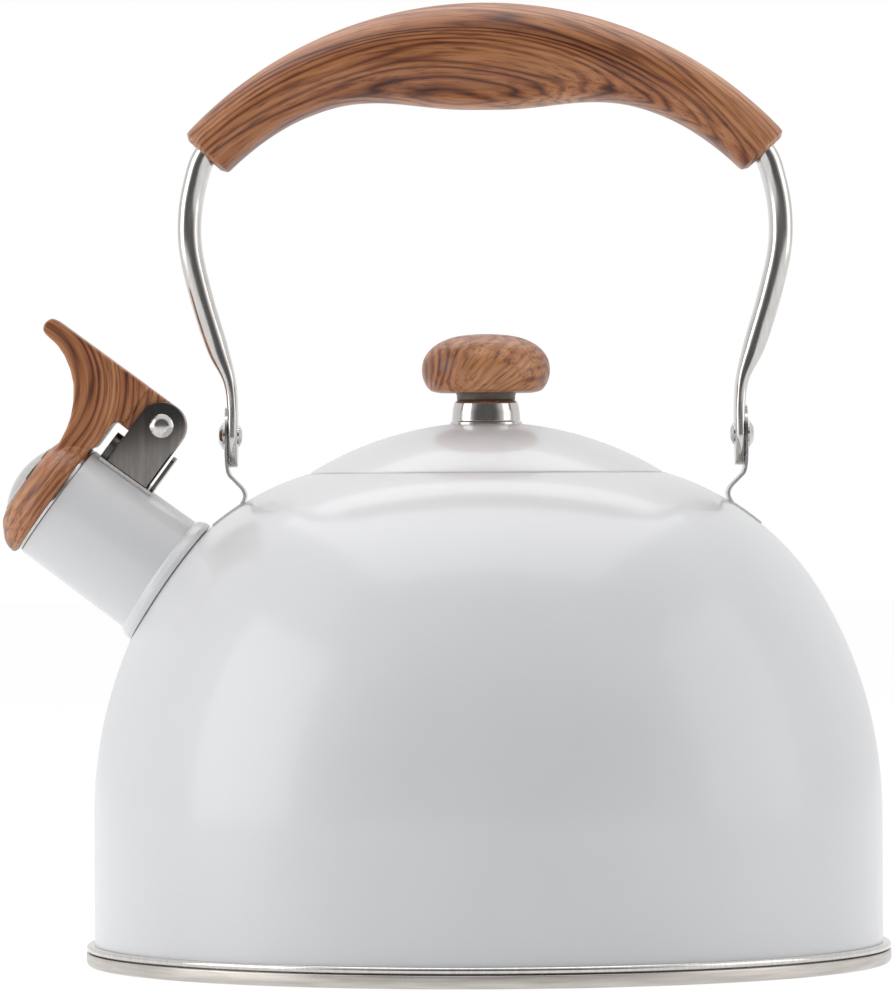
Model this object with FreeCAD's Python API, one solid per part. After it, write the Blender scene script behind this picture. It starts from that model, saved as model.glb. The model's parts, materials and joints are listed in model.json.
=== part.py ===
import FreeCAD, Part  # FreeCAD comes first: Part alone crashes

import math
import os

# A stovetop whistling kettle. Millimetres, +Z up, origin on the resting plane under the dome's
# centre. The spout points to -X, the handle folds about the X direction.

# --- vessel ---
BASE_R = 98.5            # outside of the straight wall
WALL_TOP = 37.25         # where the straight wall ends
SIDE_R = 107.5           # radius of the side's curve
SHOULDER_DEG = 30.0      # where the side's curve hands over to the crown's
CROWN_R = 68.25          # radius of the crown's curve
SHEET = 0.7              # shell and lid sheet
LID_R = 44.25            # where the dome ends and the lid begins
SEAT_DEPTH = 1.3         # depth of the lid's seat below the dome's edge
SEAT_W = 5.6             # width of the seat
NECK_H = 6.0             # neck below the seat

# --- base ---
CAP_SHEET = 0.6          # magnetic dish
CAP_EDGE_R = 1.3         # rounding of the dish's lower edge
CORE_T = 2.6             # aluminium core
CORE_EDGE = 1.2          # bevel of the core's lower edge
CORE_GAP = 0.3           # core to the dish's wall
DISH_LAP = 0.1           # how far the dish's wall passes the core's top
PAN_SHEET = 0.7          # vessel floor
PAN_BEND = 1.5           # bevel between the floor and its flange
BEAD_H = 1.9             # height of the polished bead, below the shell
RING_PROUD = 2.0         # how far the base ring stands out
FLANGE_H = 6.0           # weld flange inside the shell

# --- lid and knob ---
LID_CROWN = 12.43        # height of the lid's dome above its own edge
LID_PROUD = 0.22         # lid's edge above the dome's rim
LID_GAP = 0.35           # lid edge and skirt to the dome
SKIRT_H = 14.0
SKIRT_T = 0.6
FERRULE_R = 8.75
FERRULE_TOP_R = 7.5
FERRULE_H = 6.0
KNOB_R = 16.0
KNOB_FOOT_R = 12.0
KNOB_NECK_R = 7.35
KNOB_NECK_H = 1.8
KNOB_H = 14.7            # knob above its neck
KNOB_WIDE_Z = 5.7        # widest place, above the underside
SCREW_R = 2.0            # M4 knob screw
SCREW_GAP = 0.1          # clearance of its holes
SCREW_HEAD_R = 3.6
SCREW_HEAD_H = 2.2
SCREW_END = 7.0          # how far the screw reaches into the insert
INSERT_R = 4.0
INSERT_L = 9.0
INSERT_HOLE_L = 8.0
WASHER_R = 6.0
WASHER_T = 0.8

# --- spout ---
SPOUT_DEG = 36.5         # rise of the spout's axis
SPOUT_REACH = 34.767     # mouth to the foot of the collar's upper side, along the axis
SPOUT_R = 15.5           # outside at the mouth
SPOUT_TAPER = 0.5 / 32   # widening from the mouth inwards, per millimetre
SPOUT_LEN = 45.0         # reaches inside the dome before it is trimmed
SPOUT_WALL = 0.8
COLLAR_W = 1.9           # collar outside the mouth's radius
COLLAR_H = 3.0
COLLAR_GAP = 0.303       # collar's upper side to the ear's foot, across

# --- cap hinge; u runs from the mouth towards the dome, v up across the spout ---
PIN_U = 10.0
PIN_RISE = 14.9          # pin above the tube's side at the mouth
PIN_R = 1.6
PIN_GAP = 0.05           # running fit in the cap's lug
CHEEK_R = 6.0            # rounded top of each cheek
CHEEK_T = 1.0
BRACKET_SHEET = 1.0
FRONT_TAB_GAP = 0.6      # front tab to the cheeks
FRONT_TAB_RISE = 7.2     # its top above the tube's side
REAR_TAB_GAP = 0.9
REAR_TAB_RISE = 10.5
TAB_HALF = 4.0           # half width of both tabs
LUG_HALF_W = 4.7
LUG_R = 6.0              # rounded end of the cap's lug about the pin
LUG_GAP = 0.3            # lug to cheek
PIN_HEAD_R = 3.0
PIN_HEAD_H = 1.1
SPRING_WIRE_R = 0.45
SPRING_COIL_R = 2.9
SPRING_TURNS = 3.25
SPRING_PITCH = 1.08      # wire to wire along the pin
SPRING_LEG_L = 9.0       # leg in the lever
SPRING_ROOM = 0.35       # free space round the coil in the lug

# --- cap ---
CAP_OVER = 1.3           # cap's rim outside the mouth's radius
CAP_T = 9.2
CAP_GAP = 0.1            # liner to mouth when shut
LINER_IN = 0.1           # liner's edge inside the mouth's radius
LINER_T = 0.9
LINER_HOLE_R = 4.0
LINER_SCREW_R = 1.0
LINER_SCREW_IN = 8.1     # screw inwards from the tube's side
LINER_SCREW_Y = 8.4      # and across from the middle
LINER_SCREW_L = 4.5
PILOT_L = 6.0
LEVER_HALF_W = 9.0
LEVER_TIP_U = 28.3       # tip of the thumb lever in front of the mouth
LEVER_TIP_T = 4.3        # thickness near the tip
LEVER_HEEL_U = 2.0       # heel of the lever behind the mouth
WHISTLE_R = 9.3
WHISTLE_RISE = 2.6
WHISTLE_SHEET = 0.5
WHISTLE_HOLE_R = 1.2
WHISTLE_BORE_R = 7.2
WHISTLE_CUP_D = 4.5      # depth of the inner cup

# --- handle ---
PIVOT_RISE = 16.947      # rivet above the dome where the ear's foot begins
PIVOT_OUT = 3.9          # inner face of each ear's upright, outside the foot's beginning
EAR_GAP = 0.3            # ear to arm
RIVET_R = 2.0
RIVET_GAP = 0.3          # inner head to arm
RIVET_HEAD_R = 3.4
RIVET_SNAP_R = 3.0       # the smaller head inside
RIVET_HEAD_H = 1.1
EAR_T = 0.8
EAR_HALF_W = 7.2
EAR_OUT = 16.75          # foot on the dome, outside the lid's seam
EAR_FOOT_L = 7.5         # length of the foot down the dome, across
EAR_BEND_R = 1.6
TAB_T = 2.4
TAB_HALF_W = 7.0
TAB_RISE = 11.0          # flat from the rivet upwards
TAB_DROP = 0.8           # centre of the tab's round end below the rivet
ARM_T = 5.6
ARM_HALF_W = 6.5
ARM_BOW = 6.3            # how far the arm swings out between tab and grip
GRIP_WIDER = 37.1        # radius of the grip's top outline, less the ears' place
GRIP_RISE = 108.1        # top of the grip above the rivets
GRIP_T = 26.75           # height of the grip at the middle
GRIP_W = 27.0            # width at the middle
GRIP_END_T = 14.2
GRIP_END_W = 19.5
GRIP_END_DEG = 47.5
SOCKET_DEG = 9.0         # how far the arm reaches into the grip
SOCKET_GAP = 0.35
GRIP_SCREW_AT = 0.6      # screw along the socket, as a share of it
GRIP_SCREW_R = 1.6
GRIP_SCREW_HEAD_R = 3.0
GRIP_SCREW_HEAD_H = 1.8
GRIP_SCREW_SINK = 0.6    # head below the grip's surface
GRIP_SCREW_L = 9.0

Y_AXIS = FreeCAD.Vector(0, 1, 0)
Z_AXIS = FreeCAD.Vector(0, 0, 1)


def xz(x, z, y=0.0):
    return FreeCAD.Vector(x, y, z)


def polar(centre, radius, angle):
    return centre[0] + radius * math.cos(angle), centre[1] + radius * math.sin(angle)


def outline(steps):
    """A closed face in the XZ plane. Each step is a point, or ("arc", through, end)."""
    edges = []
    start = steps[0]
    for step in list(steps[1:]) + [steps[0]]:
        if step[0] == "arc":
            through, end = step[1], step[2]
            edges.append(Part.Arc(xz(*start), xz(*through), xz(*end)).toShape())
        else:
            end = step
            if math.dist(start, end) < 1e-7:
                continue
            edges.append(Part.LineSegment(xz(*start), xz(*end)).toShape())
        start = end
    return Part.Face(Part.Wire(edges))


def turned(steps):
    """A solid of revolution about Z from an outline in the XZ plane."""
    return outline(steps).revolve(xz(0, 0), Z_AXIS, 360)


def slab(steps, y_low, y_high):
    """An outline in the XZ plane, made into a plate between two values of Y."""
    face = outline(steps)
    face.translate(Y_AXIS * y_low)
    return face.extrude(Y_AXIS * (y_high - y_low))


def rod(radius, start, end):
    direction = end - start
    return Part.makeCylinder(radius, direction.Length, start, direction)


def along_x(radius, x_low, x_high, z):
    return rod(radius, xz(x_low, z), xz(x_high, z))


def dome_head(radius, height, at, direction):
    """A domed rivet head: the part of a ball that stands above its flat."""
    ball_r = (radius ** 2 + height ** 2) / (2 * height)
    ball = Part.makeSphere(ball_r, at - direction * (ball_r - height))
    return ball.common(Part.makeCylinder(radius * 1.5, height * 1.5, at, direction))


# --- the dome's curves ---

SHOULDER = math.radians(SHOULDER_DEG)
SIDE_C = (BASE_R - SIDE_R, WALL_TOP)
PAN_Z = CAP_SHEET + CORE_T
CAP_WALL_TOP = PAN_Z + DISH_LAP
BEAD_TOP = CAP_WALL_TOP + BEAD_H
RING_R = BASE_R + RING_PROUD
CORE_R = RING_R - CAP_SHEET - CORE_GAP
JUNCTION = polar(SIDE_C, SIDE_R, SHOULDER)
CROWN_C = polar(JUNCTION, -CROWN_R, SHOULDER)


def crown_z(r, offset=0.0):
    return CROWN_C[1] + math.sqrt((CROWN_R + offset) ** 2 - (r - CROWN_C[0]) ** 2)


def crown_r(z, offset=0.0):
    return CROWN_C[0] + math.sqrt((CROWN_R + offset) ** 2 - (z - CROWN_C[1]) ** 2)


RIM_Z = crown_z(LID_R)
SEAT_Z = RIM_Z - SEAT_DEPTH
NECK_R = LID_R - SEAT_W
LID_EDGE_R = LID_R - LID_GAP
LID_APEX = RIM_Z + LID_PROUD + LID_CROWN
LID_DOME_R = (LID_EDGE_R ** 2 + LID_CROWN ** 2) / (2 * LID_CROWN)
LID_C_Z = LID_APEX - LID_DOME_R


def lid_z(r, offset=0.0):
    return LID_C_Z + math.sqrt((LID_DOME_R + offset) ** 2 - r ** 2)


def dome_curve(offset, end_r):
    """Steps up the dome at an offset from its outside: wall, side and crown."""
    side_mid = polar(SIDE_C, SIDE_R + offset, SHOULDER / 2)
    side_end = polar(SIDE_C, SIDE_R + offset, SHOULDER)
    end = (end_r, crown_z(end_r, offset))
    turn = (SHOULDER + math.atan2(end[1] - CROWN_C[1], end[0] - CROWN_C[0])) / 2
    crown_mid = polar(CROWN_C, CROWN_R + offset, turn)
    return [(BASE_R + offset, BEAD_TOP), (BASE_R + offset, WALL_TOP),
            ("arc", side_mid, side_end), ("arc", crown_mid, end)]


def dome_solid(offset=0.0):
    """The dome filled in, used to trim what stands on it."""
    steps = [(0, BEAD_TOP)] + dome_curve(offset, LID_R) + [(0, crown_z(LID_R, offset))]
    return turned(steps)


def reversed_steps(steps):
    """The same curve, walked from its end to its start."""
    points = [s[2] if s[0] == "arc" else s for s in steps]
    back = [points[-1]]
    for i in range(len(steps) - 1, 0, -1):
        back.append(("arc", steps[i][1], points[i - 1]) if steps[i][0] == "arc" else points[i - 1])
    return back


# --- the spout's own frame: local Z out of the mouth, local X up across the spout ---

EAR_FOOT_IN = LID_R + EAR_OUT
EAR_FOOT_OUT = EAR_FOOT_IN + EAR_FOOT_L
COLLAR_R = SPOUT_R + COLLAR_W


def mouth_middle():
    """The collar's upper side meets the dome just below the left ear's foot."""
    rise = math.radians(SPOUT_DEG)
    foot = EAR_FOOT_OUT + COLLAR_GAP
    upper = (-foot, crown_z(foot))
    axis = polar(upper, -COLLAR_R, math.pi / 2 - rise)
    return polar(axis, SPOUT_REACH, math.pi - rise)


MOUTH = mouth_middle()
SPOUT_PLACE = FreeCAD.Placement(xz(*MOUTH), FreeCAD.Rotation(Y_AXIS, SPOUT_DEG - 90.0))
PIN_V = SPOUT_R + PIN_RISE
LEVER_TOP = PIN_V + LUG_R
CAP_R = SPOUT_R + CAP_OVER
LINER_R = SPOUT_R - LINER_IN


def uv(u, v):
    """A point of the spout's side view, as this file's outlines take it: (local X, local Z)."""
    return v, -u


def on_spout(shape):
    placed = shape.copy()
    placed.Placement = SPOUT_PLACE.multiply(placed.Placement)
    return Part.Solid(placed) if placed.ShapeType == "Shell" else placed


# --- vessel ---

def spout_cone(radius, length):
    """The spout's outside, offset to another mouth radius, from the mouth inwards."""
    return on_spout(Part.makeCone(radius + SPOUT_TAPER * length, radius, length, xz(0, -length)))


def body_shell():
    """The dome in one sheet, with the lid's sunk seat, its neck and the spout's hole."""
    outer = dome_curve(0.0, LID_R)
    seat_low = SEAT_Z - SHEET
    ledge = [(LID_R, SEAT_Z), (NECK_R, SEAT_Z), (NECK_R, SEAT_Z - NECK_H),
             (NECK_R + SHEET, SEAT_Z - NECK_H), (NECK_R + SHEET, seat_low)]
    inner_start_r = crown_r(seat_low, -SHEET)
    inner = reversed_steps(dome_curve(-SHEET, inner_start_r))
    shell = turned(outer + ledge + inner)
    return shell.cut(spout_cone(SPOUT_R - SPOUT_WALL, SPOUT_LEN))


def base_pan():
    """Floor, rounded bead outside and weld flange inside the shell."""
    flange_r = BASE_R - SHEET
    bead_r = (BEAD_TOP - CAP_WALL_TOP) / 2
    bead_z = (BEAD_TOP + CAP_WALL_TOP) / 2
    return turned([
        (0, PAN_Z), (CORE_R, PAN_Z), (CORE_R, CAP_WALL_TOP),
        (RING_R - bead_r, CAP_WALL_TOP), ("arc", (RING_R, bead_z), (RING_R - bead_r, BEAD_TOP)),
        (flange_r, BEAD_TOP), (flange_r, BEAD_TOP + FLANGE_H),
        (flange_r - PAN_SHEET, BEAD_TOP + FLANGE_H), (flange_r - PAN_SHEET, PAN_Z + PAN_SHEET + PAN_BEND),
        (flange_r - PAN_SHEET - PAN_BEND, PAN_Z + PAN_SHEET), (0, PAN_Z + PAN_SHEET),
    ])


def heat_spreader():
    """Aluminium core, pressed between the dish and the vessel's floor."""
    return turned([(0, CAP_SHEET), (CORE_R - CORE_EDGE, CAP_SHEET), (CORE_R, CAP_SHEET + CORE_EDGE),
                   (CORE_R, PAN_Z), (0, PAN_Z)])


def base_cap():
    """Thin dish with a rounded lower edge; its inside follows the core."""
    centre = (RING_R - CAP_EDGE_R, CAP_EDGE_R)
    corner = polar(centre, CAP_EDGE_R, -math.pi / 4)
    lip = CAP_SHEET / 2
    return turned([
        (0, 0), (centre[0], 0), ("arc", corner, (RING_R, CAP_EDGE_R)), (RING_R, CAP_WALL_TOP - lip),
        (RING_R - lip, CAP_WALL_TOP), (CORE_R, CAP_WALL_TOP), (CORE_R, CAP_SHEET + CORE_EDGE),
        (CORE_R - CORE_EDGE, CAP_SHEET), (0, CAP_SHEET),
    ])


def spout_tube():
    tube = spout_cone(SPOUT_R, SPOUT_LEN).cut(spout_cone(SPOUT_R - SPOUT_WALL, SPOUT_LEN))
    return tube.cut(dome_solid())


def spout_collar():
    ring = on_spout(Part.makeCylinder(COLLAR_R, SPOUT_LEN, xz(0, -SPOUT_LEN)))
    ring = ring.cut(spout_cone(SPOUT_R, SPOUT_LEN))
    return ring.common(dome_solid(COLLAR_H)).cut(dome_solid())


# --- handle ears and arms ---

PIVOT_Z = crown_z(EAR_FOOT_IN) + PIVOT_RISE
PIVOT_X = EAR_FOOT_IN + PIVOT_OUT
GRIP_R = PIVOT_X + GRIP_WIDER
GRIP_TOP = PIVOT_Z + GRIP_RISE


def bent_strip(points, bend_r, thickness):
    """The outline's steps round a sheet strip, from its centreline and one bend radius."""
    sides = []
    for sign in (1, -1):
        offset = sign * thickness / 2
        steps = [side_point(points[0], points[0], points[1], offset)]
        for before, corner, after in zip(points, points[1:], points[2:]):
            steps += bend(before, corner, after, bend_r, offset)
        steps.append(side_point(points[-1], points[-2], points[-1], offset))
        sides.append(steps)
    return sides[0] + reversed_steps(sides[1])


def side_point(at, start, end, offset):
    length = math.dist(start, end)
    across = (-(end[1] - start[1]) / length, (end[0] - start[0]) / length)
    return at[0] + across[0] * offset, at[1] + across[1] * offset


def bend(before, corner, after, bend_r, offset):
    """The two steps of one bend: the line's end, then the arc."""
    way_in = math.atan2(corner[1] - before[1], corner[0] - before[0])
    way_out = math.atan2(after[1] - corner[1], after[0] - corner[0])
    turn = math.remainder(way_out - way_in, math.tau)
    side = math.copysign(1.0, turn)
    run = bend_r * math.tan(abs(turn) / 2)
    start = polar(corner, -run, way_in)
    centre = polar(start, bend_r * side, way_in + math.pi / 2)
    radius = bend_r - side * offset
    first, last = way_in - side * math.pi / 2, way_out - side * math.pi / 2
    middle = first + turn / 2
    through, end = polar(centre, radius, middle), polar(centre, radius, last)
    return [polar(centre, radius, first), ("arc", through, end)]


def ear_right():
    """Foot pressed to the dome, a joggle, and an upright with a rounded top."""
    foot = dome_solid(EAR_T).cut(dome_solid())
    foot = foot.common(Part.makeBox(EAR_FOOT_L, 2 * EAR_HALF_W, LID_APEX,
                                    xz(EAR_FOOT_IN, 0, -EAR_HALF_W)))
    upright = PIVOT_X + EAR_T / 2
    strip = slab(bent_strip([
        (EAR_FOOT_IN + 0.9, crown_z(EAR_FOOT_IN + 0.9) + EAR_T / 2),
        (EAR_FOOT_IN - 0.5, crown_z(EAR_FOOT_IN) + 2.6),
        (upright, crown_z(EAR_FOOT_IN) + 8.4),
        (upright, PIVOT_Z + EAR_HALF_W),
    ], EAR_BEND_R, EAR_T), -EAR_HALF_W, EAR_HALF_W).cut(dome_solid())
    ear = foot.fuse(strip).removeSplitter()
    reach = EAR_HALF_W + 1
    square = Part.makeBox(20, 2 * reach, reach + 1, xz(PIVOT_X - 10, PIVOT_Z, -reach))
    ear = ear.cut(square.cut(along_x(EAR_HALF_W, PIVOT_X - 11, PIVOT_X + 11, PIVOT_Z)))
    return ear.cut(along_x(RIVET_R, PIVOT_X - 5, PIVOT_X + 5, PIVOT_Z)).Solids[0]


def arm_section(x, z, angle, half_w, thickness):
    """A rounded rectangle across the arm; angle is the way the arm runs."""
    corner = min(thickness, half_w) * 0.48
    half_t = thickness / 2
    edges = []
    ring = [(half_w - corner, half_t - corner, 0), (-half_w + corner, half_t - corner, 90),
            (-half_w + corner, -half_t + corner, 180), (half_w - corner, -half_t + corner, 270)]
    across = FreeCAD.Vector(-math.sin(angle), 0, math.cos(angle))

    def at(y, t):
        return xz(x, z, y) + across * t

    arcs = []
    for cy, ct, first in ring:
        spots = [(cy + corner * math.cos(math.radians(first + a)),
                  ct + corner * math.sin(math.radians(first + a))) for a in (0, 45, 90)]
        arcs.append([at(y, t) for y, t in spots])
    for i, arc in enumerate(arcs):
        edges.append(Part.Arc(*arc).toShape())
        edges.append(Part.LineSegment(arc[2], arcs[(i + 1) % 4][0]).toShape())
    return Part.Wire(edges)


def grip_thickness(angle):
    """Height of the grip's section; the belly swells under the fingers."""
    swell = math.exp(-(abs(angle) / math.radians(21.0)) ** 2.4)
    slope = 1.0 - 0.02 * math.degrees(max(0.0, abs(angle) - math.radians(30))) / 5
    return (GRIP_END_T + 1.1) * slope + (GRIP_T - GRIP_END_T - 1.1) * swell


def grip_width(angle):
    share = abs(angle) / math.radians(GRIP_END_DEG)
    return GRIP_W + (GRIP_END_W - GRIP_W) * share ** 1.6


def grip_middle(angle):
    """Middle of the grip's section at an angle from the top."""
    radius = GRIP_R - grip_thickness(angle) / 2
    return radius * math.sin(angle), GRIP_TOP - GRIP_R + radius * math.cos(angle)


def arm_path():
    """The right arm from its rivet tab into the grip: (x, z, half width, thickness)."""
    tab_x, tab_z = PIVOT_X - EAR_GAP - TAB_T / 2, PIVOT_Z + TAB_RISE
    grip_x, grip_z = grip_middle(math.radians(GRIP_END_DEG))
    rows = [(tab_x, tab_z, TAB_HALF_W, TAB_T)]
    for rise, bow, half_w, thickness in [
            (0.051, 0.07, TAB_HALF_W, TAB_T * 1.25), (0.189, 0.41, ARM_HALF_W, ARM_T * 0.93),
            (0.392, 0.78, ARM_HALF_W, ARM_T), (0.595, 1.0, ARM_HALF_W, ARM_T),
            (0.752, 0.87, ARM_HALF_W, ARM_T), (0.895, 0.48, ARM_HALF_W, ARM_T)]:
        x = tab_x + (grip_x - tab_x) * rise + ARM_BOW * bow
        rows.append((x, tab_z + (grip_z - tab_z) * rise, half_w, thickness))
    for share in (0.0, 0.5, 1.0):
        x, z = grip_middle(math.radians(GRIP_END_DEG - share * SOCKET_DEG))
        rows.append((x, z, ARM_HALF_W, ARM_T))
    return rows


def arm_loft(grow=0.0):
    """A loft along the arm's path, grown all round by a gap."""
    rows = arm_path()
    wires = []
    for i, (x, z, half_w, thickness) in enumerate(rows):
        low, high = rows[max(0, i - 1)], rows[min(len(rows) - 1, i + 1)]
        angle = math.atan2(high[1] - low[1], high[0] - low[0])
        wires.append(arm_section(x, z, angle, half_w + grow, thickness + 2 * grow))
    return Part.makeLoft(wires, True, False)


def arm_right():
    """A bent bar with a flat tab at its foot; holes for the rivet and the grip's screw."""
    x_low = PIVOT_X - EAR_GAP - TAB_T
    end_z = PIVOT_Z - TAB_DROP
    tab = Part.makeBox(TAB_T, 2 * TAB_HALF_W, PIVOT_Z + TAB_RISE - end_z, xz(x_low, end_z, -TAB_HALF_W))
    tab = tab.fuse(along_x(TAB_HALF_W, x_low, x_low + TAB_T, end_z))
    arm = arm_loft().fuse(tab).removeSplitter()
    start, out = grip_screw_axis()
    rivet_hole = along_x(RIVET_R + PIN_GAP, x_low - 1, x_low + TAB_T + 1, PIVOT_Z)
    return arm.cut([rivet_hole, rod(GRIP_SCREW_R, start, start + out * GRIP_SCREW_L)]).Solids[0]


def handle_rivet_right():
    """Domed head outside the ear, a smaller head inside the arm."""
    inside = PIVOT_X - EAR_GAP - TAB_T - RIVET_GAP
    outside = PIVOT_X + EAR_T
    shank = along_x(RIVET_R, inside, outside, PIVOT_Z)
    big = dome_head(RIVET_HEAD_R, RIVET_HEAD_H, xz(outside, PIVOT_Z), FreeCAD.Vector(1, 0, 0))
    small = dome_head(RIVET_SNAP_R, RIVET_HEAD_H, xz(inside, PIVOT_Z), FreeCAD.Vector(-1, 0, 0))
    return shank.fuse([big, small]).removeSplitter()


def mirrored(shape):
    return shape.mirror(xz(0, 0), FreeCAD.Vector(1, 0, 0))


def grip_section(angle):
    """A soft squarish oval across the grip at an angle from the top."""
    x, z = grip_middle(angle)
    half_t, half_w = grip_thickness(angle) / 2, grip_width(angle) / 2
    out = FreeCAD.Vector(math.sin(angle), 0, math.cos(angle))
    points = []
    for i in range(16):
        a = math.tau * i / 16
        c, s = math.cos(a), math.sin(a)
        points.append(xz(x, z, math.copysign(abs(c) ** 0.85, c) * half_w)
                      + out * math.copysign(abs(s) ** 0.85, s) * half_t)
    curve = Part.BSplineCurve()
    curve.interpolate(Points=points, PeriodicFlag=True)
    return Part.Wire([curve.toShape()])


def grip():
    stations = 8
    end = math.radians(GRIP_END_DEG)
    wires = [grip_section(end * (2 * i / stations - 1)) for i in range(stations + 1)]
    blank = Part.makeLoft(wires, True, False)
    socket = arm_loft(SOCKET_GAP)
    return blank.cut([socket, mirrored(socket), *screw_holes()])


SCREW_ANGLE = math.radians(GRIP_END_DEG - GRIP_SCREW_AT * SOCKET_DEG)


def grip_screw_axis():
    """Where the right screw starts under the grip, and the way it points, outwards."""
    out = FreeCAD.Vector(math.sin(SCREW_ANGLE), 0, math.cos(SCREW_ANGLE))
    centre = xz(0, GRIP_TOP - GRIP_R)
    start = centre + out * (GRIP_R - grip_thickness(SCREW_ANGLE) + GRIP_SCREW_SINK)
    return start, out


def screw_holes():
    start, out = grip_screw_axis()
    hole = rod(GRIP_SCREW_R, start, start + out * GRIP_SCREW_L).fuse(
        rod(GRIP_SCREW_HEAD_R + 0.3, start - out * 4, start + out * GRIP_SCREW_HEAD_H))
    return [hole, mirrored(hole)]


def grip_screw():
    start, out = grip_screw_axis()
    head = rod(GRIP_SCREW_HEAD_R, start, start + out * GRIP_SCREW_HEAD_H)
    slot = Part.makeBox(8, 0.8, 8, xz(-4, -4, -0.4))
    lean = FreeCAD.Rotation(Y_AXIS, math.degrees(SCREW_ANGLE))
    slot.Placement = FreeCAD.Placement(start - out * 3.2, lean)
    return head.fuse(rod(GRIP_SCREW_R, start, start + out * GRIP_SCREW_L)).cut(slot).removeSplitter()


# --- lid ---

def lid_shell():
    """Shallow dome with its edge turned down onto the seat."""
    edge = LID_EDGE_R
    inner = edge - SHEET
    mid = edge / 2
    hole = SCREW_R + SCREW_GAP
    return turned([
        (hole, lid_z(hole)), ("arc", (mid, lid_z(mid)), (edge, lid_z(edge))), (edge, SEAT_Z),
        (inner, SEAT_Z), (inner, lid_z(inner, -SHEET)),
        ("arc", (mid, lid_z(mid, -SHEET)), (hole, lid_z(hole, -SHEET))),
    ])


def lid_ball(offset=0.0):
    return Part.makeSphere(LID_DOME_R + offset, xz(0, LID_C_Z))


def lid_skirt():
    outer = NECK_R - LID_GAP
    skirt_low = lid_z(outer, -SHEET) - SKIRT_H
    inner = outer - SKIRT_T
    ring = turned([(inner, skirt_low), (outer, skirt_low), (outer, LID_APEX), (inner, LID_APEX)])
    return ring.common(lid_ball(-SHEET))


def knob_ferrule():
    """Flared, polished foot: a thin lip, then a rounded shoulder up to the knob's neck."""
    foot_z = lid_z(FERRULE_R)
    top_z = foot_z + FERRULE_H
    blank = turned([
        (SCREW_R + SCREW_GAP, foot_z - 1), (FERRULE_R + 0.25, foot_z - 1), (FERRULE_R + 0.25, foot_z + 0.5),
        ("arc", (FERRULE_R - 0.55, foot_z + 2.6), (FERRULE_TOP_R, top_z - 1.0)),
        ("arc", (FERRULE_TOP_R - 0.25, top_z - 0.25), (FERRULE_TOP_R - 0.9, top_z)),
        (SCREW_R + SCREW_GAP, top_z),
    ])
    return blank.cut(lid_ball())


KNOB_Z = lid_z(FERRULE_R) + FERRULE_H


def knob():
    under = KNOB_Z + KNOB_NECK_H
    wide = under + KNOB_WIDE_Z
    top = under + KNOB_H
    rim = (KNOB_R + KNOB_FOOT_R) / 2
    profile = Part.BSplineCurve()
    profile.interpolate(
        Points=[xz(KNOB_FOOT_R, under), xz(rim + 1.0, under + 1.9), xz(KNOB_R, wide),
                xz(rim + 0.4, top - 3.1), xz(KNOB_R * 0.5, top - 0.7), xz(0, top)],
        InitialTangent=FreeCAD.Vector(1, 0, 0.12), FinalTangent=FreeCAD.Vector(-1, 0, 0))
    points = [xz(0, top), xz(0, KNOB_Z), xz(KNOB_NECK_R, KNOB_Z), xz(KNOB_NECK_R, under),
              xz(KNOB_FOOT_R, under)]
    edges = [Part.LineSegment(a, b).toShape() for a, b in zip(points, points[1:])]
    solid = Part.Face(Part.Wire(edges + [profile.toShape()])).revolve(xz(0, 0), Z_AXIS, 360)
    return solid.cut(rod(INSERT_R, xz(0, KNOB_Z), xz(0, KNOB_Z + INSERT_L)))


def knob_insert():
    body = rod(INSERT_R, xz(0, KNOB_Z), xz(0, KNOB_Z + INSERT_L))
    return body.cut(rod(SCREW_R, xz(0, KNOB_Z), xz(0, KNOB_Z + INSERT_HOLE_L)))


WASHER_TOP = lid_z(WASHER_R, -SHEET)


def knob_washer():
    low, top = xz(0, WASHER_TOP - WASHER_T), xz(0, WASHER_TOP)
    return rod(WASHER_R, low, top).cut(rod(SCREW_R + SCREW_GAP, low, top))


def knob_screw():
    head_top = WASHER_TOP - WASHER_T
    low = head_top - SCREW_HEAD_H
    head = rod(SCREW_HEAD_R, xz(0, low), xz(0, head_top))
    cross = Part.makeBox(5, 0.9, 1.2, xz(-2.5, low - 0.1, -0.45))
    cross = cross.fuse(Part.makeBox(0.9, 5, 1.2, xz(-0.45, low - 0.1, -2.5)))
    return head.cut(cross).fuse(rod(SCREW_R, xz(0, head_top), xz(0, KNOB_Z + SCREW_END))).removeSplitter()


# --- cap hinge ---

PIN_AT = uv(PIN_U, PIN_V)


def pin_rod(radius, half_length):
    return Part.makeCylinder(radius, 2 * half_length, xz(PIN_AT[0], PIN_AT[1], -half_length), Y_AXIS)


CHEEK_OUT = LUG_HALF_W + LUG_GAP + CHEEK_T
SADDLE_TOP = SPOUT_R + 0.5 + BRACKET_SHEET


def upright_plate(low, u_start, u_end, top, half_w):
    """A block across the spout from low to top, between two values of u."""
    return slab([uv(u_start, low), uv(u_start, top), uv(u_end, top), uv(u_end, low)], -half_w, half_w)


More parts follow.
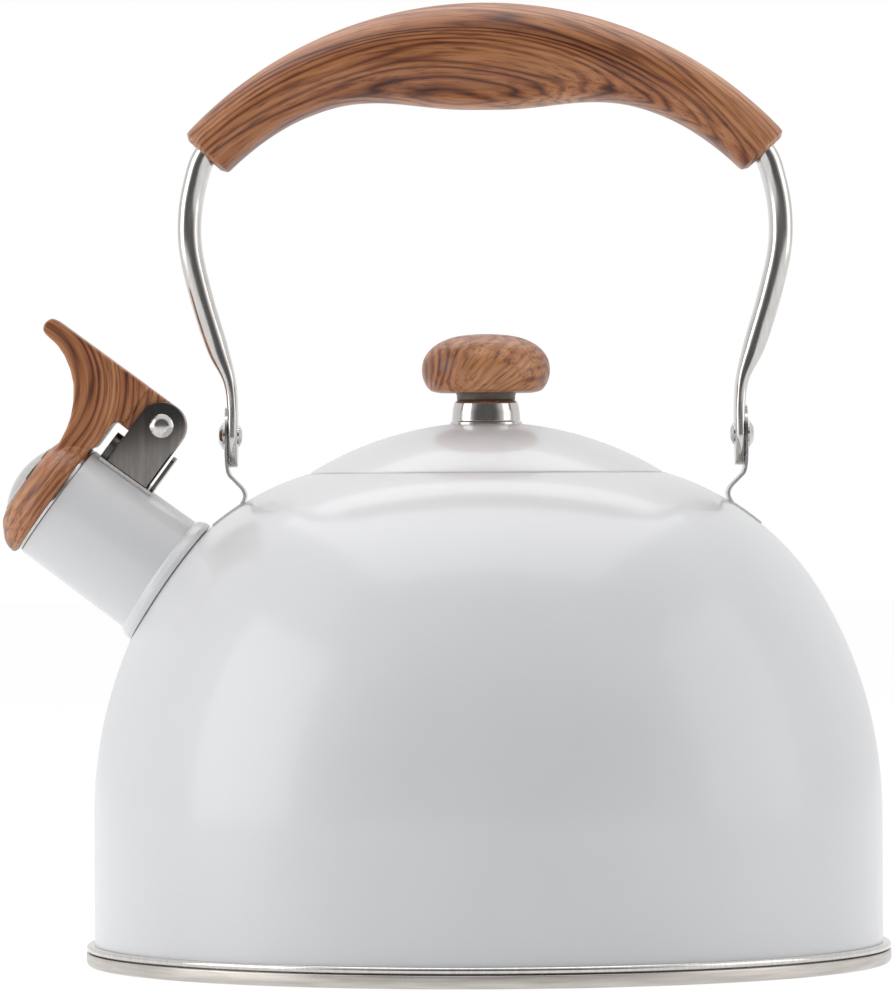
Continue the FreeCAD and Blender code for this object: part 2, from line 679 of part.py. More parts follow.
def hinge_bracket():
    """Saddle on the tube, two cheeks with rounded tops, and a tab at each end."""
    low = SPOUT_R - 4
    cheek = slab([uv(PIN_U - CHEEK_R, low), uv(PIN_U - CHEEK_R, PIN_V),
                  ("arc", uv(PIN_U, PIN_V + CHEEK_R), uv(PIN_U + CHEEK_R, PIN_V)),
                  uv(PIN_U + CHEEK_R, low)], -CHEEK_OUT, CHEEK_OUT)
    gap = slab([uv(0, 0), uv(0, PIN_V * 2), uv(PIN_U * 3, PIN_V * 2), uv(PIN_U * 3, 0)],
               CHEEK_T - CHEEK_OUT, CHEEK_OUT - CHEEK_T)
    front, rear = PIN_U - CHEEK_R - BRACKET_SHEET - FRONT_TAB_GAP, PIN_U + CHEEK_R + REAR_TAB_GAP
    strap = upright_plate(low, front, rear + BRACKET_SHEET, SADDLE_TOP, CHEEK_OUT)
    front_tab = upright_plate(low, front, front + BRACKET_SHEET, SPOUT_R + FRONT_TAB_RISE, TAB_HALF)
    rear_tab = upright_plate(low, rear, rear + BRACKET_SHEET, SPOUT_R + REAR_TAB_RISE, TAB_HALF)
    bracket = cheek.cut(gap).fuse([strap, front_tab, rear_tab]).removeSplitter()
    bracket = on_spout(bracket).cut(spout_cone(SPOUT_R, SPOUT_LEN))
    return bracket.cut(on_spout(pin_rod(PIN_R, CHEEK_OUT + 2))).Solids[0]


def cap_hinge_pin():
    heads = [dome_head(PIN_HEAD_R, PIN_HEAD_H, xz(PIN_AT[0], PIN_AT[1], sign * CHEEK_OUT), Y_AXIS * sign)
             for sign in (1, -1)]
    return on_spout(pin_rod(PIN_R, CHEEK_OUT).fuse(heads).removeSplitter())


SPRING_H = SPRING_PITCH * SPRING_TURNS


def cap_spring():
    """Torsion spring: a coil round the pin, one leg down to the saddle and one into the lever."""
    helix = Part.makeHelix(SPRING_PITCH, SPRING_H, SPRING_COIL_R)
    wire = Part.Wire(Part.makeCircle(SPRING_WIRE_R, xz(SPRING_COIL_R, 0), Y_AXIS))
    coil = Part.Wire(helix.Edges).makePipeShell([wire], True, True)
    coil.rotate(xz(0, 0), Z_AXIS, -90)
    coil.rotate(xz(0, 0), FreeCAD.Vector(1, 0, 0), 90)
    coil.translate(xz(PIN_AT[0], PIN_AT[1], SPRING_H / 2))
    start = xz(PIN_AT[0], PIN_AT[1] - SPRING_COIL_R, SPRING_H / 2)
    foot = rod(SPRING_WIRE_R, start, xz(SADDLE_TOP + 0.2, start.z, start.y))
    return on_spout(coil.fuse([foot, spring_leg(SPRING_WIRE_R)]).removeSplitter())


def spring_leg(radius):
    """The leg that reaches into the lever, or the hole it sits in."""
    end = xz(PIN_AT[0] + SPRING_COIL_R, PIN_AT[1], -SPRING_H / 2)
    return rod(radius, end, end + Z_AXIS * SPRING_LEG_L)


# --- cap ---

def cap_disc():
    """The round part of the cap, in the spout's frame, with its rolled front edge."""
    back, front = CAP_GAP + LINER_T, CAP_T
    return turned([
        (0, back), (CAP_R - 0.3, back), (CAP_R, back + 0.3), (CAP_R, back + 0.9),
        ("arc", (CAP_R - 1.2, front - 4.0), (CAP_R - 3.6, front - 1.7)),
        ("arc", (CAP_R - 5.2, front - 0.8), (WHISTLE_R + 0.2, front)), (0, front),
    ])


def lever_outline():
    """Side view of the thumb lever: concave front, rounded tip, straight top, and the heel."""
    side, back_u = SPOUT_R, -CAP_GAP - LINER_T
    tip_u, tip_low = LEVER_TIP_U - 2.1, LEVER_TOP - LEVER_TIP_T
    front = [uv(-CAP_T + 1.2, side / 2), uv(-CAP_T + 0.5, side + 0.6),
             ("arc", uv(-CAP_T - 3.0, side + 8.4), uv(-19.8, tip_low - 1.8)), uv(-tip_u, tip_low)]
    tip = [("arc", uv(-LEVER_TIP_U, LEVER_TOP - LEVER_TIP_T / 2), uv(-tip_u, LEVER_TOP))]
    back = [uv(LEVER_HEEL_U, LEVER_TOP), uv(LEVER_HEEL_U, side + 10.1),
            ("arc", uv(0.6, side + 9.4), uv(-CAP_GAP, side + 7.9)),
            uv(-CAP_GAP, side + 0.8), uv(back_u, side + 0.5), uv(back_u, 0)]
    return front + tip + back + [uv(-CAP_T + 1.2, 0)]


def lever_blank():
    """The lever's side view given its width, and its tip rounded in plan."""
    lever = slab(lever_outline(), -LEVER_HALF_W, LEVER_HALF_W)
    centre, long = LEVER_TIP_U - 1.8 - LEVER_HALF_W, 2 * LEVER_TOP
    plan = Part.makeCylinder(LEVER_HALF_W, long, xz(-10, centre), FreeCAD.Vector(1, 0, 0))
    plan = plan.fuse(Part.makeBox(long, 2 * LEVER_HALF_W, long, xz(-10, centre - long, -LEVER_HALF_W)))
    return lever.common(plan)


def hinge_lug():
    """The narrow end of the lever between the bracket's cheeks, slotted for the spring."""
    under = PIN_V - LUG_R
    lug = slab([uv(0, LEVER_TOP), uv(PIN_U, LEVER_TOP), ("arc", uv(PIN_U + LUG_R, PIN_V), uv(PIN_U, under)),
                uv(PIN_U - 1.5, under), uv(0, under + 0.3)], -LUG_HALF_W, LUG_HALF_W)
    coil_room = SPRING_COIL_R + SPRING_WIRE_R + SPRING_ROOM
    room_half = SPRING_H / 2 + SPRING_WIRE_R + LUG_GAP
    slot_low = under - 3.0
    slot = pin_rod(coil_room, room_half).fuse(
        slab([uv(PIN_U - coil_room, PIN_V), uv(PIN_U + coil_room, PIN_V),
              uv(PIN_U + coil_room, slot_low), uv(PIN_U - coil_room, slot_low)], -room_half, room_half))
    return lug, slot


def spout_cap():
    lug, slot = hinge_lug()
    cap = cap_disc().fuse([lever_blank(), lug]).removeSplitter()
    bore = rod(WHISTLE_BORE_R, xz(0, 0), xz(0, CAP_T + 1))
    pilots = [rod(LINER_SCREW_R, xz(x, 0, y), xz(x, PILOT_L, y)) for x, y in liner_screw_spots()]
    pin_hole = pin_rod(PIN_R + PIN_GAP, LUG_HALF_W + 1)
    return on_spout(cap.cut([slot, bore, pin_hole, spring_leg(SPRING_WIRE_R + 0.15), *pilots]))


def liner_screw_spots():
    x = LINER_SCREW_IN - SPOUT_R
    return [(x, LINER_SCREW_Y), (x, -LINER_SCREW_Y)]


def cap_liner():
    low = CAP_GAP
    plate = rod(LINER_R, xz(0, low), xz(0, low + LINER_T))
    holes = [rod(LINER_SCREW_R, xz(x, low, y), xz(x, low + LINER_T, y)) for x, y in liner_screw_spots()]
    return on_spout(plate.cut([rod(LINER_HOLE_R, xz(0, low), xz(0, low + LINER_T)), *holes]))


def liner_screw(x, y):
    """A headless pin screw, flush with the plate and driven into the cap."""
    return on_spout(rod(LINER_SCREW_R, xz(x, CAP_GAP, y), xz(x, CAP_GAP + LINER_T + LINER_SCREW_L, y)))


def whistle_outer():
    """Domed disc on the cap's face, with the whistle's sounding hole in its middle."""
    seat = CAP_T
    ball_r = (WHISTLE_R ** 2 + WHISTLE_RISE ** 2) / (2 * WHISTLE_RISE)
    centre = xz(0, seat + WHISTLE_RISE - ball_r)
    dome = Part.makeSphere(ball_r, centre).cut(Part.makeSphere(ball_r - WHISTLE_SHEET, centre))
    dome = dome.common(rod(WHISTLE_R, xz(0, seat), xz(0, seat + WHISTLE_RISE + 1)))
    return on_spout(dome.cut(rod(WHISTLE_HOLE_R, xz(0, seat), xz(0, seat + WHISTLE_RISE + 1))))


def whistle_inner():
    """Cup pressed into the cap's bore; its floor holds the second hole."""
    floor = CAP_T - WHISTLE_CUP_D
    cup = rod(WHISTLE_BORE_R, xz(0, floor), xz(0, CAP_T))
    cup = cup.cut(rod(WHISTLE_BORE_R - WHISTLE_SHEET, xz(0, floor + WHISTLE_SHEET), xz(0, CAP_T)))
    return on_spout(cup.cut(rod(WHISTLE_HOLE_R, xz(0, floor), xz(0, CAP_T))))


def write(name, shape):
    solids = shape.Solids
    assert solids, name
    shape = solids[0] if len(solids) == 1 else Part.makeCompound(solids)
    assert shape.isValid(), name
    shape.exportStep(f"parts/{name}.step")
    print(f"{name:20s} solids {len(solids)} volume {shape.Volume:10.1f} mm3")


def main():
    os.makedirs("parts", exist_ok=True)
    pieces = {
        "body_shell": body_shell(),
        "base_pan": base_pan(),
        "heat_spreader": heat_spreader(),
        "base_cap": base_cap(),
        "spout_tube": spout_tube(),
        "spout_collar": spout_collar(),
        "hinge_bracket": hinge_bracket(),
        "cap_hinge_pin": cap_hinge_pin(),
        "cap_spring": cap_spring(),
        "ear_right": ear_right(),
        "ear_left": mirrored(ear_right()),
        "handle_rivet_right": handle_rivet_right(),
        "handle_rivet_left": mirrored(handle_rivet_right()),
        "arm_right": arm_right(),
        "arm_left": mirrored(arm_right()),
        "grip": grip(),
        "grip_screws": Part.makeCompound([grip_screw(), mirrored(grip_screw())]),
        "lid_shell": lid_shell(),
        "lid_skirt": lid_skirt(),
        "knob_ferrule": knob_ferrule(),
        "knob": knob(),
        "knob_insert": knob_insert(),
        "knob_washer": knob_washer(),
        "knob_screw": knob_screw(),
        "spout_cap": spout_cap(),
        "cap_liner": cap_liner(),
        "liner_screws": Part.makeCompound([liner_screw(x, y) for x, y in liner_screw_spots()]),
        "whistle_outer": whistle_outer(),
        "whistle_inner": whistle_inner(),
    }
    for name, shape in pieces.items():
        write(name, shape)


main()
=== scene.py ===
# %% [markdown]
# # A white whistling kettle
# A stovetop kettle in white stoving enamel over stainless steel, with wood-look fittings. The
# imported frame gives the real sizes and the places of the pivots. Each cell below makes one piece
# or one finish over it. Lengths of single pieces are written in millimetres and turned to metres
# by the value MM.

# %% The frame
import json
import math

import bmesh
import bpy
from mathutils import Matrix, Vector


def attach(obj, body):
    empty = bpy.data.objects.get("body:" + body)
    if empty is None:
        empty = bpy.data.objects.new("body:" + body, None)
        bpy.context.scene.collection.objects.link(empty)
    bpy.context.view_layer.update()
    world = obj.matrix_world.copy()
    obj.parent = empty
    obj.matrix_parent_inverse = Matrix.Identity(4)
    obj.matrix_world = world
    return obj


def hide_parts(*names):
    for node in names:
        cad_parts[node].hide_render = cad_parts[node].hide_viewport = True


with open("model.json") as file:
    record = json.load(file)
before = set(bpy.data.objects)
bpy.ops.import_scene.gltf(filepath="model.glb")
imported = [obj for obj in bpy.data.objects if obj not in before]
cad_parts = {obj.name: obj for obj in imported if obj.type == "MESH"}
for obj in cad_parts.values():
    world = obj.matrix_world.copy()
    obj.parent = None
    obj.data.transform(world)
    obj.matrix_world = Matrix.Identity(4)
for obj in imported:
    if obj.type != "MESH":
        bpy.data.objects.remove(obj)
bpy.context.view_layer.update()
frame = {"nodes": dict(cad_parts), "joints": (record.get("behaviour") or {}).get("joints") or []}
MM = 0.001
joints = {joint["name"]: joint for joint in frame["joints"]}
PIN = Vector(joints["cap_open"]["pos_m"])
PIVOT_Z = joints["handle_fold"]["pos_m"][2]

# %% [markdown]
# ## Colours
# Colours are noted as the hex values that a paint chart gives. Those are sRGB values, and the
# renderer counts in linear light, so one function turns them over.

# %% Colour helper


def srgb(code, alpha=1.0):
    """A hex colour such as "EDEDEB" as the linear colour that a socket takes."""
    channels = [int(code[i:i + 2], 16) / 255 for i in (0, 2, 4)]
    linear = [c / 12.92 if c <= 0.04045 else ((c + 0.055) / 1.055) ** 2.4 for c in channels]
    return (*linear, alpha)


print("white enamel in linear light:", srgb("EDEEF0"))

# %% [markdown]
# ## Materials in code
# A material is a small tree of nodes. It could be clicked together in the editor, but code can
# be read and run again. One function adds a node with its settings and links. The others make
# the empty tree, the shader with its output, and a colour ramp.

# %% Material helpers


def add(tree, kind, settings=None, links=None):
    """Adds a node with its settings and its input values or links, and returns it."""
    node = tree.nodes.new(kind)
    for name, value in (settings or {}).items():
        setattr(node, name, value)
    for name, value in (links or {}).items():
        socket = node.inputs[name]
        if isinstance(value, bpy.types.NodeSocket):
            tree.links.new(value, socket)
        else:
            socket.default_value = value
    return node


def finish_named(name):
    """An empty node material, and its tree."""
    material = bpy.data.materials.new(name)
    material.use_nodes = True
    material.node_tree.nodes.clear()
    return material, material.node_tree


def surface(tree, **sockets):
    """The shader and the output. Socket names are written with _ for a space."""
    values = {key.replace("_", " "): value for key, value in sockets.items()}
    shader = add(tree, "ShaderNodeBsdfPrincipled", links=values)
    add(tree, "ShaderNodeOutputMaterial", links={"Surface": shader.outputs["BSDF"]})


def ramp(tree, fac, stops):
    """A colour ramp from (position, hex) stops."""
    node = add(tree, "ShaderNodeValToRGB", links={"Fac": fac})
    band = node.color_ramp
    while len(band.elements) < len(stops):
        band.elements.new(0.5)
    for element, (position, code) in zip(band.elements, stops):
        element.position, element.color = position, srgb(code)
    return node.outputs["Color"]


# %% [markdown]
# ## White enamel
# Stoving enamel is a thick white paint, baked until it flows to a gloss. The eye sees a slightly
# soft white under a clear hard skin, with the faintest orange peel where the paint drew together.
# A coat over a satin base gives the two layers, and a weak bump about 6 mm long gives the peel.

# %% Enamel
PEEL_MM = 6.25


def stoving_enamel():
    material, tree = finish_named("stoving_enamel_white")
    place = add(tree, "ShaderNodeTexCoord").outputs["Object"]
    peel = add(tree, "ShaderNodeTexNoise", links={
        "Vector": place, "Scale": 1.0 / (PEEL_MM * MM), "Detail": 1.0})
    cloud = add(tree, "ShaderNodeTexNoise", links={"Vector": place, "Scale": 22.0, "Detail": 2.0})
    tone = ramp(tree, cloud.outputs["Fac"], [(0.3, "E9EAED"), (0.7, "EDEEF0")])
    bump = add(tree, "ShaderNodeBump", links={
        "Height": peel.outputs["Fac"], "Strength": 0.02, "Distance": 0.0004})
    gloss = add(tree, "ShaderNodeMapRange", links={
        "Value": cloud.outputs["Fac"], "To Min": 0.3, "To Max": 0.38})
    surface(tree, Base_Color=tone, Roughness=gloss.outputs["Result"], Normal=bump.outputs["Normal"],
            Coat_Weight=0.5, Coat_Roughness=0.12, Coat_IOR=1.5)
    return material


ENAMEL = stoving_enamel()
print("finish:", ENAMEL.name)

# %% [markdown]
# ## Steels
# All bare metal is stainless steel, and only its working differs, but the brushed plate of the
# hinge is coloured much darker than the rest as painted shade for the dark reflection its cheeks
# show. Polished parts keep hair scratches that soften a reflection a little. Turned and brushed
# parts have fine parallel lines, which spread light across the lines. Real brushing is some
# 0.05 mm apart, too fine to show at this distance, so the lines are drawn about 0.4 mm apart.

# %% Steels


def steel(name, tones, rough, line_mm=0.4, stretch=(1.0, 1.0, 1.0), depth=0.05):
    """Stainless steel; stretch squeezes the brushing along the axes it crosses."""
    material, tree = finish_named(name)
    place = add(tree, "ShaderNodeTexCoord").outputs["Object"]
    turned = add(tree, "ShaderNodeMapping", links={"Vector": place, "Scale": stretch})
    lines = add(tree, "ShaderNodeTexNoise", links={
        "Vector": turned.outputs["Vector"], "Scale": 0.5 / (line_mm * MM), "Detail": 3.0})
    smears = add(tree, "ShaderNodeTexNoise", links={"Vector": place, "Scale": 70.0, "Detail": 3.0})
    tone = ramp(tree, lines.outputs["Fac"], [(0.35, tones[0]), (0.65, tones[1])])
    gloss = add(tree, "ShaderNodeMapRange", links={
        "Value": smears.outputs["Fac"], "From Min": 0.3, "From Max": 0.7,
        "To Min": rough * 0.85, "To Max": rough * 1.2})
    bump = add(tree, "ShaderNodeBump", links={
        "Height": lines.outputs["Fac"], "Strength": depth, "Distance": 0.0002})
    surface(tree, Base_Color=tone, Metallic=1.0, Roughness=gloss.outputs["Result"],
            Normal=bump.outputs["Normal"])
    return material


POLISHED = steel("stainless_polished", ("C6C3C0", "D2D0CE"), 0.13,
                 stretch=(1.0, 1.0, 0.08), depth=0.02)
# The brushed plate's dark colour is painted shade: it stands for the dark room its cheeks reflect.
PLATE_STEEL_PAINTED_DARK = steel("stainless_brushed_plate_painted_dark", ("75716E", "827D7A"), 0.26,
                stretch=(1.0, 1.0, 0.1), depth=0.03)
TURNED = steel("magnetic_steel_turned", ("B9B3AD", "CCC6C0"), 0.3,
               stretch=(0.05, 0.05, 1.0), depth=0.08)
SHEET = steel("stainless_sheet", ("BDBAB6", "CDCBC8"), 0.18,
              stretch=(1.0, 0.15, 1.0), depth=0.04)
WIRE = steel("spring_wire", ("A9A7A4", "BAB8B5"), 0.2)
SCREW = steel("stainless_fastener", ("A9A6A2", "BBB8B4"), 0.22)
CORE = steel("aluminium_core", ("C4C5C7", "D2D3D5"), 0.35)
BRASS = steel("turned_brass", ("B08D4A", "C7A662"), 0.22)
metals = (POLISHED, PLATE_STEEL_PAINTED_DARK, TURNED, SHEET, WIRE, SCREW, CORE, BRASS)
print("metals:", [metal.name for metal in metals])

# %% [markdown]
# ## Wood-look moulding
# The grip, the knob and the cap are heat-proof moulded plastic. A water-transfer film prints a
# wood figure on them, and a satin lacquer covers it. The film stretches round the shape, so the
# figure is one flat print that flows along each piece. Each piece carries its own "grain"
# attribute: its first value runs along the wood, and its second across the growth rings. The
# rings are thin dark lines about 2 mm apart. A noise stretched along the wood, some 11 mm wide,
# shifts them to and fro, so that they bend and crowd, and a much finer one gives the fibres.

# %% Wood film
RING_MM, SHIFT_IN_RINGS = 2.1, 8.5


def wood_film():
    material, tree = finish_named("wood_film_on_moulding")
    grain = add(tree, "ShaderNodeAttribute", {"attribute_name": "grain"}).outputs["Vector"]
    parts = add(tree, "ShaderNodeSeparateXYZ", links={"Vector": grain})
    flow = add(tree, "ShaderNodeMapping", links={"Vector": grain, "Scale": (0.07, 1.0, 1.0)})
    figure = add(tree, "ShaderNodeTexNoise", links={
        "Vector": flow.outputs["Vector"], "Scale": 90.0, "Detail": 2.5, "Roughness": 0.45,
        "Distortion": 0.1})
    sway = add(tree, "ShaderNodeMath", {"operation": "MULTIPLY"}, {
        0: figure.outputs["Fac"], 1: SHIFT_IN_RINGS})
    years = add(tree, "ShaderNodeMath", {"operation": "MULTIPLY_ADD"}, {
        0: parts.outputs["Y"], 1: 1.0 / (RING_MM * MM), 2: sway.outputs["Value"]})
    rings = add(tree, "ShaderNodeMath", {"operation": "PINGPONG"}, {
        0: years.outputs["Value"], 1: 0.5})
    broad = add(tree, "ShaderNodeTexNoise", links={
        "Vector": flow.outputs["Vector"], "Scale": 130.0, "Detail": 4.0, "Roughness": 0.55})
    streak = add(tree, "ShaderNodeMapping", links={"Vector": grain, "Scale": (0.06, 1.0, 1.0)})
    fibre = add(tree, "ShaderNodeTexNoise", links={
        "Vector": streak.outputs["Vector"], "Scale": 1500.0, "Detail": 2.5, "Roughness": 0.6})
    ground = ramp(tree, broad.outputs["Fac"], [
        (0.3, "99603B"), (0.44, "B97B4D"), (0.56, "C98B5D"), (0.7, "DAA273")])
    line = ramp(tree, rings.outputs["Value"], [
        (0.0, "5A321E"), (0.07, "8F6346"), (0.2, "DDC4B2"), (0.36, "FFFFFF")])
    fine = ramp(tree, fibre.outputs["Fac"], [
        (0.32, "8A6A55"), (0.45, "E9D9CD"), (0.58, "FFFFFF")])
    force = add(tree, "ShaderNodeMapRange", links={
        "Value": broad.outputs["Fac"], "From Min": 0.36, "From Max": 0.62,
        "To Min": 1.0, "To Max": 0.35})
    lined = add(tree, "ShaderNodeMix", {"data_type": "RGBA", "blend_type": "MULTIPLY"},
                {"Factor": force.outputs["Result"]})
    tree.links.new(ground, lined.inputs["A"])
    tree.links.new(line, lined.inputs["B"])
    toned = add(tree, "ShaderNodeMix", {"data_type": "RGBA", "blend_type": "MULTIPLY"},
                {"Factor": 0.75})
    tree.links.new(lined.outputs["Result"], toned.inputs["A"])
    tree.links.new(fine, toned.inputs["B"])
    bump = add(tree, "ShaderNodeBump", links={
        "Height": fibre.outputs["Fac"], "Strength": 0.12, "Distance": 0.0002})
    surface(tree, Base_Color=toned.outputs["Result"], Roughness=0.42, Normal=bump.outputs["Normal"],
            Coat_Weight=0.15, Coat_Roughness=0.25)
    return material


WOOD = wood_film()
print("finish:", WOOD.name, "with rings", RING_MM, "mm apart")

# %% [markdown]
# ## Outlines
# Every shape here starts as a line. "rounded" takes the few points of an outline, each with its
# own corner radius, and puts arcs in, as a draughtsperson does with a compass. "arc" gives the
# points of one arc. "smooth_path" runs a soft line through a few stations, for shapes that no
# arc describes.

# %% Outline helpers


def rounded(points, closed=False, step_deg=12.0):
    """An outline with arcs in its corners. Each point is (x, y) or (x, y, radius)."""
    result = []
    count = len(points)
    for i, point in enumerate(points):
        at = Vector(point[:2])
        radius = point[2] if len(point) > 2 else 0.0
        if radius == 0.0 or (not closed and i in (0, count - 1)):
            result.append(tuple(at))
            continue
        to_last = (Vector(points[i - 1][:2]) - at).normalized()
        to_next = (Vector(points[(i + 1) % count][:2]) - at).normalized()
        half = to_last.angle(to_next) / 2
        run = radius / math.tan(half)
        middle = (to_last + to_next).normalized() * (radius / math.sin(half))
        centre = at + middle
        first = at + to_last * run - centre
        last = at + to_next * run - centre
        turn = first.angle_signed(last)
        steps = max(2, int(abs(math.degrees(turn)) / step_deg) + 1)
        for k in range(steps + 1):
            a = -turn * k / steps
            c, s = math.cos(a), math.sin(a)
            result.append((centre.x + first.x * c - first.y * s, centre.y + first.x * s + first.y * c))
    return result


def arc(centre, radius, start_deg, end_deg, steps):
    """Points along an arc, from one angle to another."""
    angles = [math.radians(start_deg + (end_deg - start_deg) * k / steps) for k in range(steps + 1)]
    return [(centre[0] + radius * math.cos(a), centre[1] + radius * math.sin(a)) for a in angles]


def smooth_path(stations, share):
    """A point on a smooth line through equally counted stations, each a tuple of numbers."""
    span = share * (len(stations) - 1)
    i = min(int(span), len(stations) - 2)
    t = span - i
    picked = [stations[min(max(i + k, 0), len(stations) - 1)] for k in (-1, 0, 1, 2)]
    return tuple(0.5 * (2 * b + (c - a) * t + (2 * a - 5 * b + 4 * c - d) * t * t
                        + (3 * b - a - 3 * c + d) * t ** 3) for a, b, c, d in zip(*picked))


print("a corner of 2 mm, stepped:", len(rounded([(0, 0), (9, 0, 2.0), (9, 9)])), "points")

# %% [markdown]
# ## Turned and woven shapes
# Two helpers turn a line into a skin. "spun" turns an outline about an upright axis, as a
# lathe or a spinning chuck does. "woven" starts from a plain grid and lays its corners on a
# shape given by a rule, which suits bent tubes and sheets better than sculpting would.

# %% Skin helpers
DOUBLE = 2e-6


def spun(profile, steps=160, closed=False):
    """A bmesh turned about Z from (radius, height) points in millimetres."""
    bm = bmesh.new()
    verts = [bm.verts.new((r * MM, 0.0, z * MM)) for r, z in profile]
    edges = [bm.edges.new(pair) for pair in zip(verts, verts[1:])]
    if closed:
        edges.append(bm.edges.new((verts[-1], verts[0])))
    bmesh.ops.spin(bm, geom=verts + edges, cent=(0, 0, 0), axis=(0, 0, 1), angle=math.tau,
                   steps=steps, use_merge=True)
    tidy(bm)
    return bm


def tidy(bm):
    """Merges doubles and turns all faces outwards."""
    bmesh.ops.remove_doubles(bm, verts=bm.verts, dist=DOUBLE)
    bmesh.ops.recalc_face_normals(bm, faces=bm.faces)


def woven(rows, columns, place, tube=False):
    """A grid laid on a shape: place(u, v) gives the point for u and v from 0 to 1."""
    bm = bmesh.new()
    bmesh.ops.create_grid(bm, x_segments=rows, y_segments=columns, size=0.5)
    for vert in bm.verts:
        u = round((vert.co.x + 0.5) * rows) / rows
        v = round((vert.co.y + 0.5) * columns) / columns
        vert.co = place(u, v)
    if tube:
        bmesh.ops.remove_doubles(bm, verts=bm.verts, dist=DOUBLE)
        open_edges = [edge for edge in bm.edges if edge.is_boundary]
        bmesh.ops.holes_fill(bm, edges=open_edges, sides=0)
    tidy(bm)
    return bm


print("points within", DOUBLE / MM, "mm are merged")

# %% [markdown]
# ## From a skin to a piece
# A bmesh is only a workbench. "piece" makes an object of it, shades it smooth up to its sharp
# edges, gives it its finish, and lets it ride on its body of the frame. "carved" cuts closed
# shapes out of another one, where a drill or a press tool would.

# %% Piece helpers
SIDES = ((1, "right"), (-1, "left"))


def piece(name, bm, material, body, replaced=(), sharp_deg=32.0):
    """Makes the object, shades it smooth between sharp edges, and hands it to its body."""
    mesh = bpy.data.meshes.new(name)
    bm.to_mesh(mesh)
    bm.free()
    mesh.shade_smooth()
    mesh.set_sharp_from_angle(angle=math.radians(sharp_deg))
    mesh.materials.append(material)
    thing = bpy.data.objects.new(name, mesh)
    bpy.context.scene.collection.objects.link(thing)
    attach(thing, body)
    if replaced:
        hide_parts(*replaced)
    print(f"{name}: {len(mesh.vertices)} points, {len(mesh.polygons)} faces")
    return thing


def carved(bm, tools, operation="DIFFERENCE"):
    """The bmesh with other closed bmeshes cut out of it, or joined to it."""
    work = bpy.data.objects.new("work", bpy.data.meshes.new("work"))
    bpy.context.scene.collection.objects.link(work)
    bm.to_mesh(work.data)
    bm.free()
    cutters = []
    for tool in tools:
        cutter = bpy.data.objects.new("cutter", bpy.data.meshes.new("cutter"))
        bpy.context.scene.collection.objects.link(cutter)
        tool.to_mesh(cutter.data)
        tool.free()
        cutters.append(cutter)
        boolean = work.modifiers.new("cut", "BOOLEAN")
        boolean.operation, boolean.solver, boolean.object = operation, "EXACT", cutter
    result = bmesh.new()
    result.from_object(work, bpy.context.evaluated_depsgraph_get())
    for thing in [work] + cutters:
        mesh = thing.data
        bpy.data.objects.remove(thing)
        bpy.data.meshes.remove(mesh)
    return result


print("paired pieces:", [word for _, word in SIDES])

# %% [markdown]
# ## The dome
# The vessel is drawn from sheet in three curves: a straight wall, a long side curve, and a
# tighter crown, each running smoothly into the next. It could be sculpted or cut from a sphere,
# but it is a turned shape, so its outline is worked out from the radii and spun. The outside half
# of the wall is enamelled and the inside half is bare, so they are two closed skins.

# %% Dome curve
BASE_R, WALL_TOP, SIDE_R, SHOULDER, CROWN_R = 98.5, 37.25, 107.5, 30.0, 68.25
LID_R, SEAT_DEPTH, SEAT_W, NECK_H, WALL = 44.25, 1.3, 5.6, 6.0, 0.7
BEAD_TOP = 5.2
SIDE_C = (BASE_R - SIDE_R, WALL_TOP)
JUNCTION = arc(SIDE_C, SIDE_R, SHOULDER, SHOULDER, 1)[0]
CROWN_C = arc(JUNCTION, -CROWN_R, SHOULDER, SHOULDER, 1)[0]


def crown_z(r, offset=0.0):
    return CROWN_C[1] + math.sqrt((CROWN_R + offset) ** 2 - (r - CROWN_C[0]) ** 2)


def dome_line(offset, end_r):
    """The dome's outline from the base up, at an offset from its outside."""
    end_deg = math.degrees(math.atan2(crown_z(end_r, offset) - CROWN_C[1], end_r - CROWN_C[0]))
    wall = [(BASE_R + offset, BEAD_TOP + (WALL_TOP - BEAD_TOP) * k / 14) for k in range(14)]
    return (wall + arc(SIDE_C, SIDE_R + offset, 0, SHOULDER, 26)
            + arc(CROWN_C, CROWN_R + offset, SHOULDER, end_deg, 28)[1:])


RIM_Z = crown_z(LID_R)
SEAT_Z = RIM_Z - SEAT_DEPTH
NECK_R = LID_R - SEAT_W
print("dome rim at", round(RIM_Z, 2), "mm")

# %% [markdown]
# The spout leans out at 36.5 degrees. Its pieces are easiest to make upright, as on a bench, and
# then stood in place by one matrix: local Z points out of the mouth, local X up across the spout.
# The cap's pin fixes where that bench stands.

# %% Spout bench
SPOUT_DEG, PIN_U, PIN_V = 36.5, 10.0, 30.4
tilt = Matrix.Rotation(math.radians(SPOUT_DEG - 90.0), 4, "Y")
MOUTH = PIN - tilt.to_3x3() @ Vector((PIN_V * MM, 0, -PIN_U * MM))
BENCH = Matrix.Translation(MOUTH) @ tilt
print("mouth at", [round(c * 1000, 2) for c in MOUTH])


def on_spout(bm):
    bmesh.ops.transform(bm, matrix=BENCH, verts=bm.verts)
    return bm


def uv(u, v):
    """A point of the spout's side view: u inwards from the mouth, v up across the spout."""
    return v, -u


print("a point 5 mm in and 3 mm up the bench:", uv(5.0, 3.0))

# %% [markdown]
# ## Two skins and a hole
# Both skins are closed outlines, spun once. The hole for the spout could be left out, because
# nobody sees it from outside, but steam has to pass and the open mouth shows it. So a turned
# plug is cut out of both skins.

# %% Dome skins
SPOUT_R, SPOUT_WALL, COLLAR_R, RIM_ROUND = 15.5, 0.8, 17.4, 0.5


def spout_hole():
    hole_r = SPOUT_R - SPOUT_WALL + 0.3
    return on_spout(spun([(0, -70), (hole_r, -70), (hole_r, -20), (0, -20)], 64))


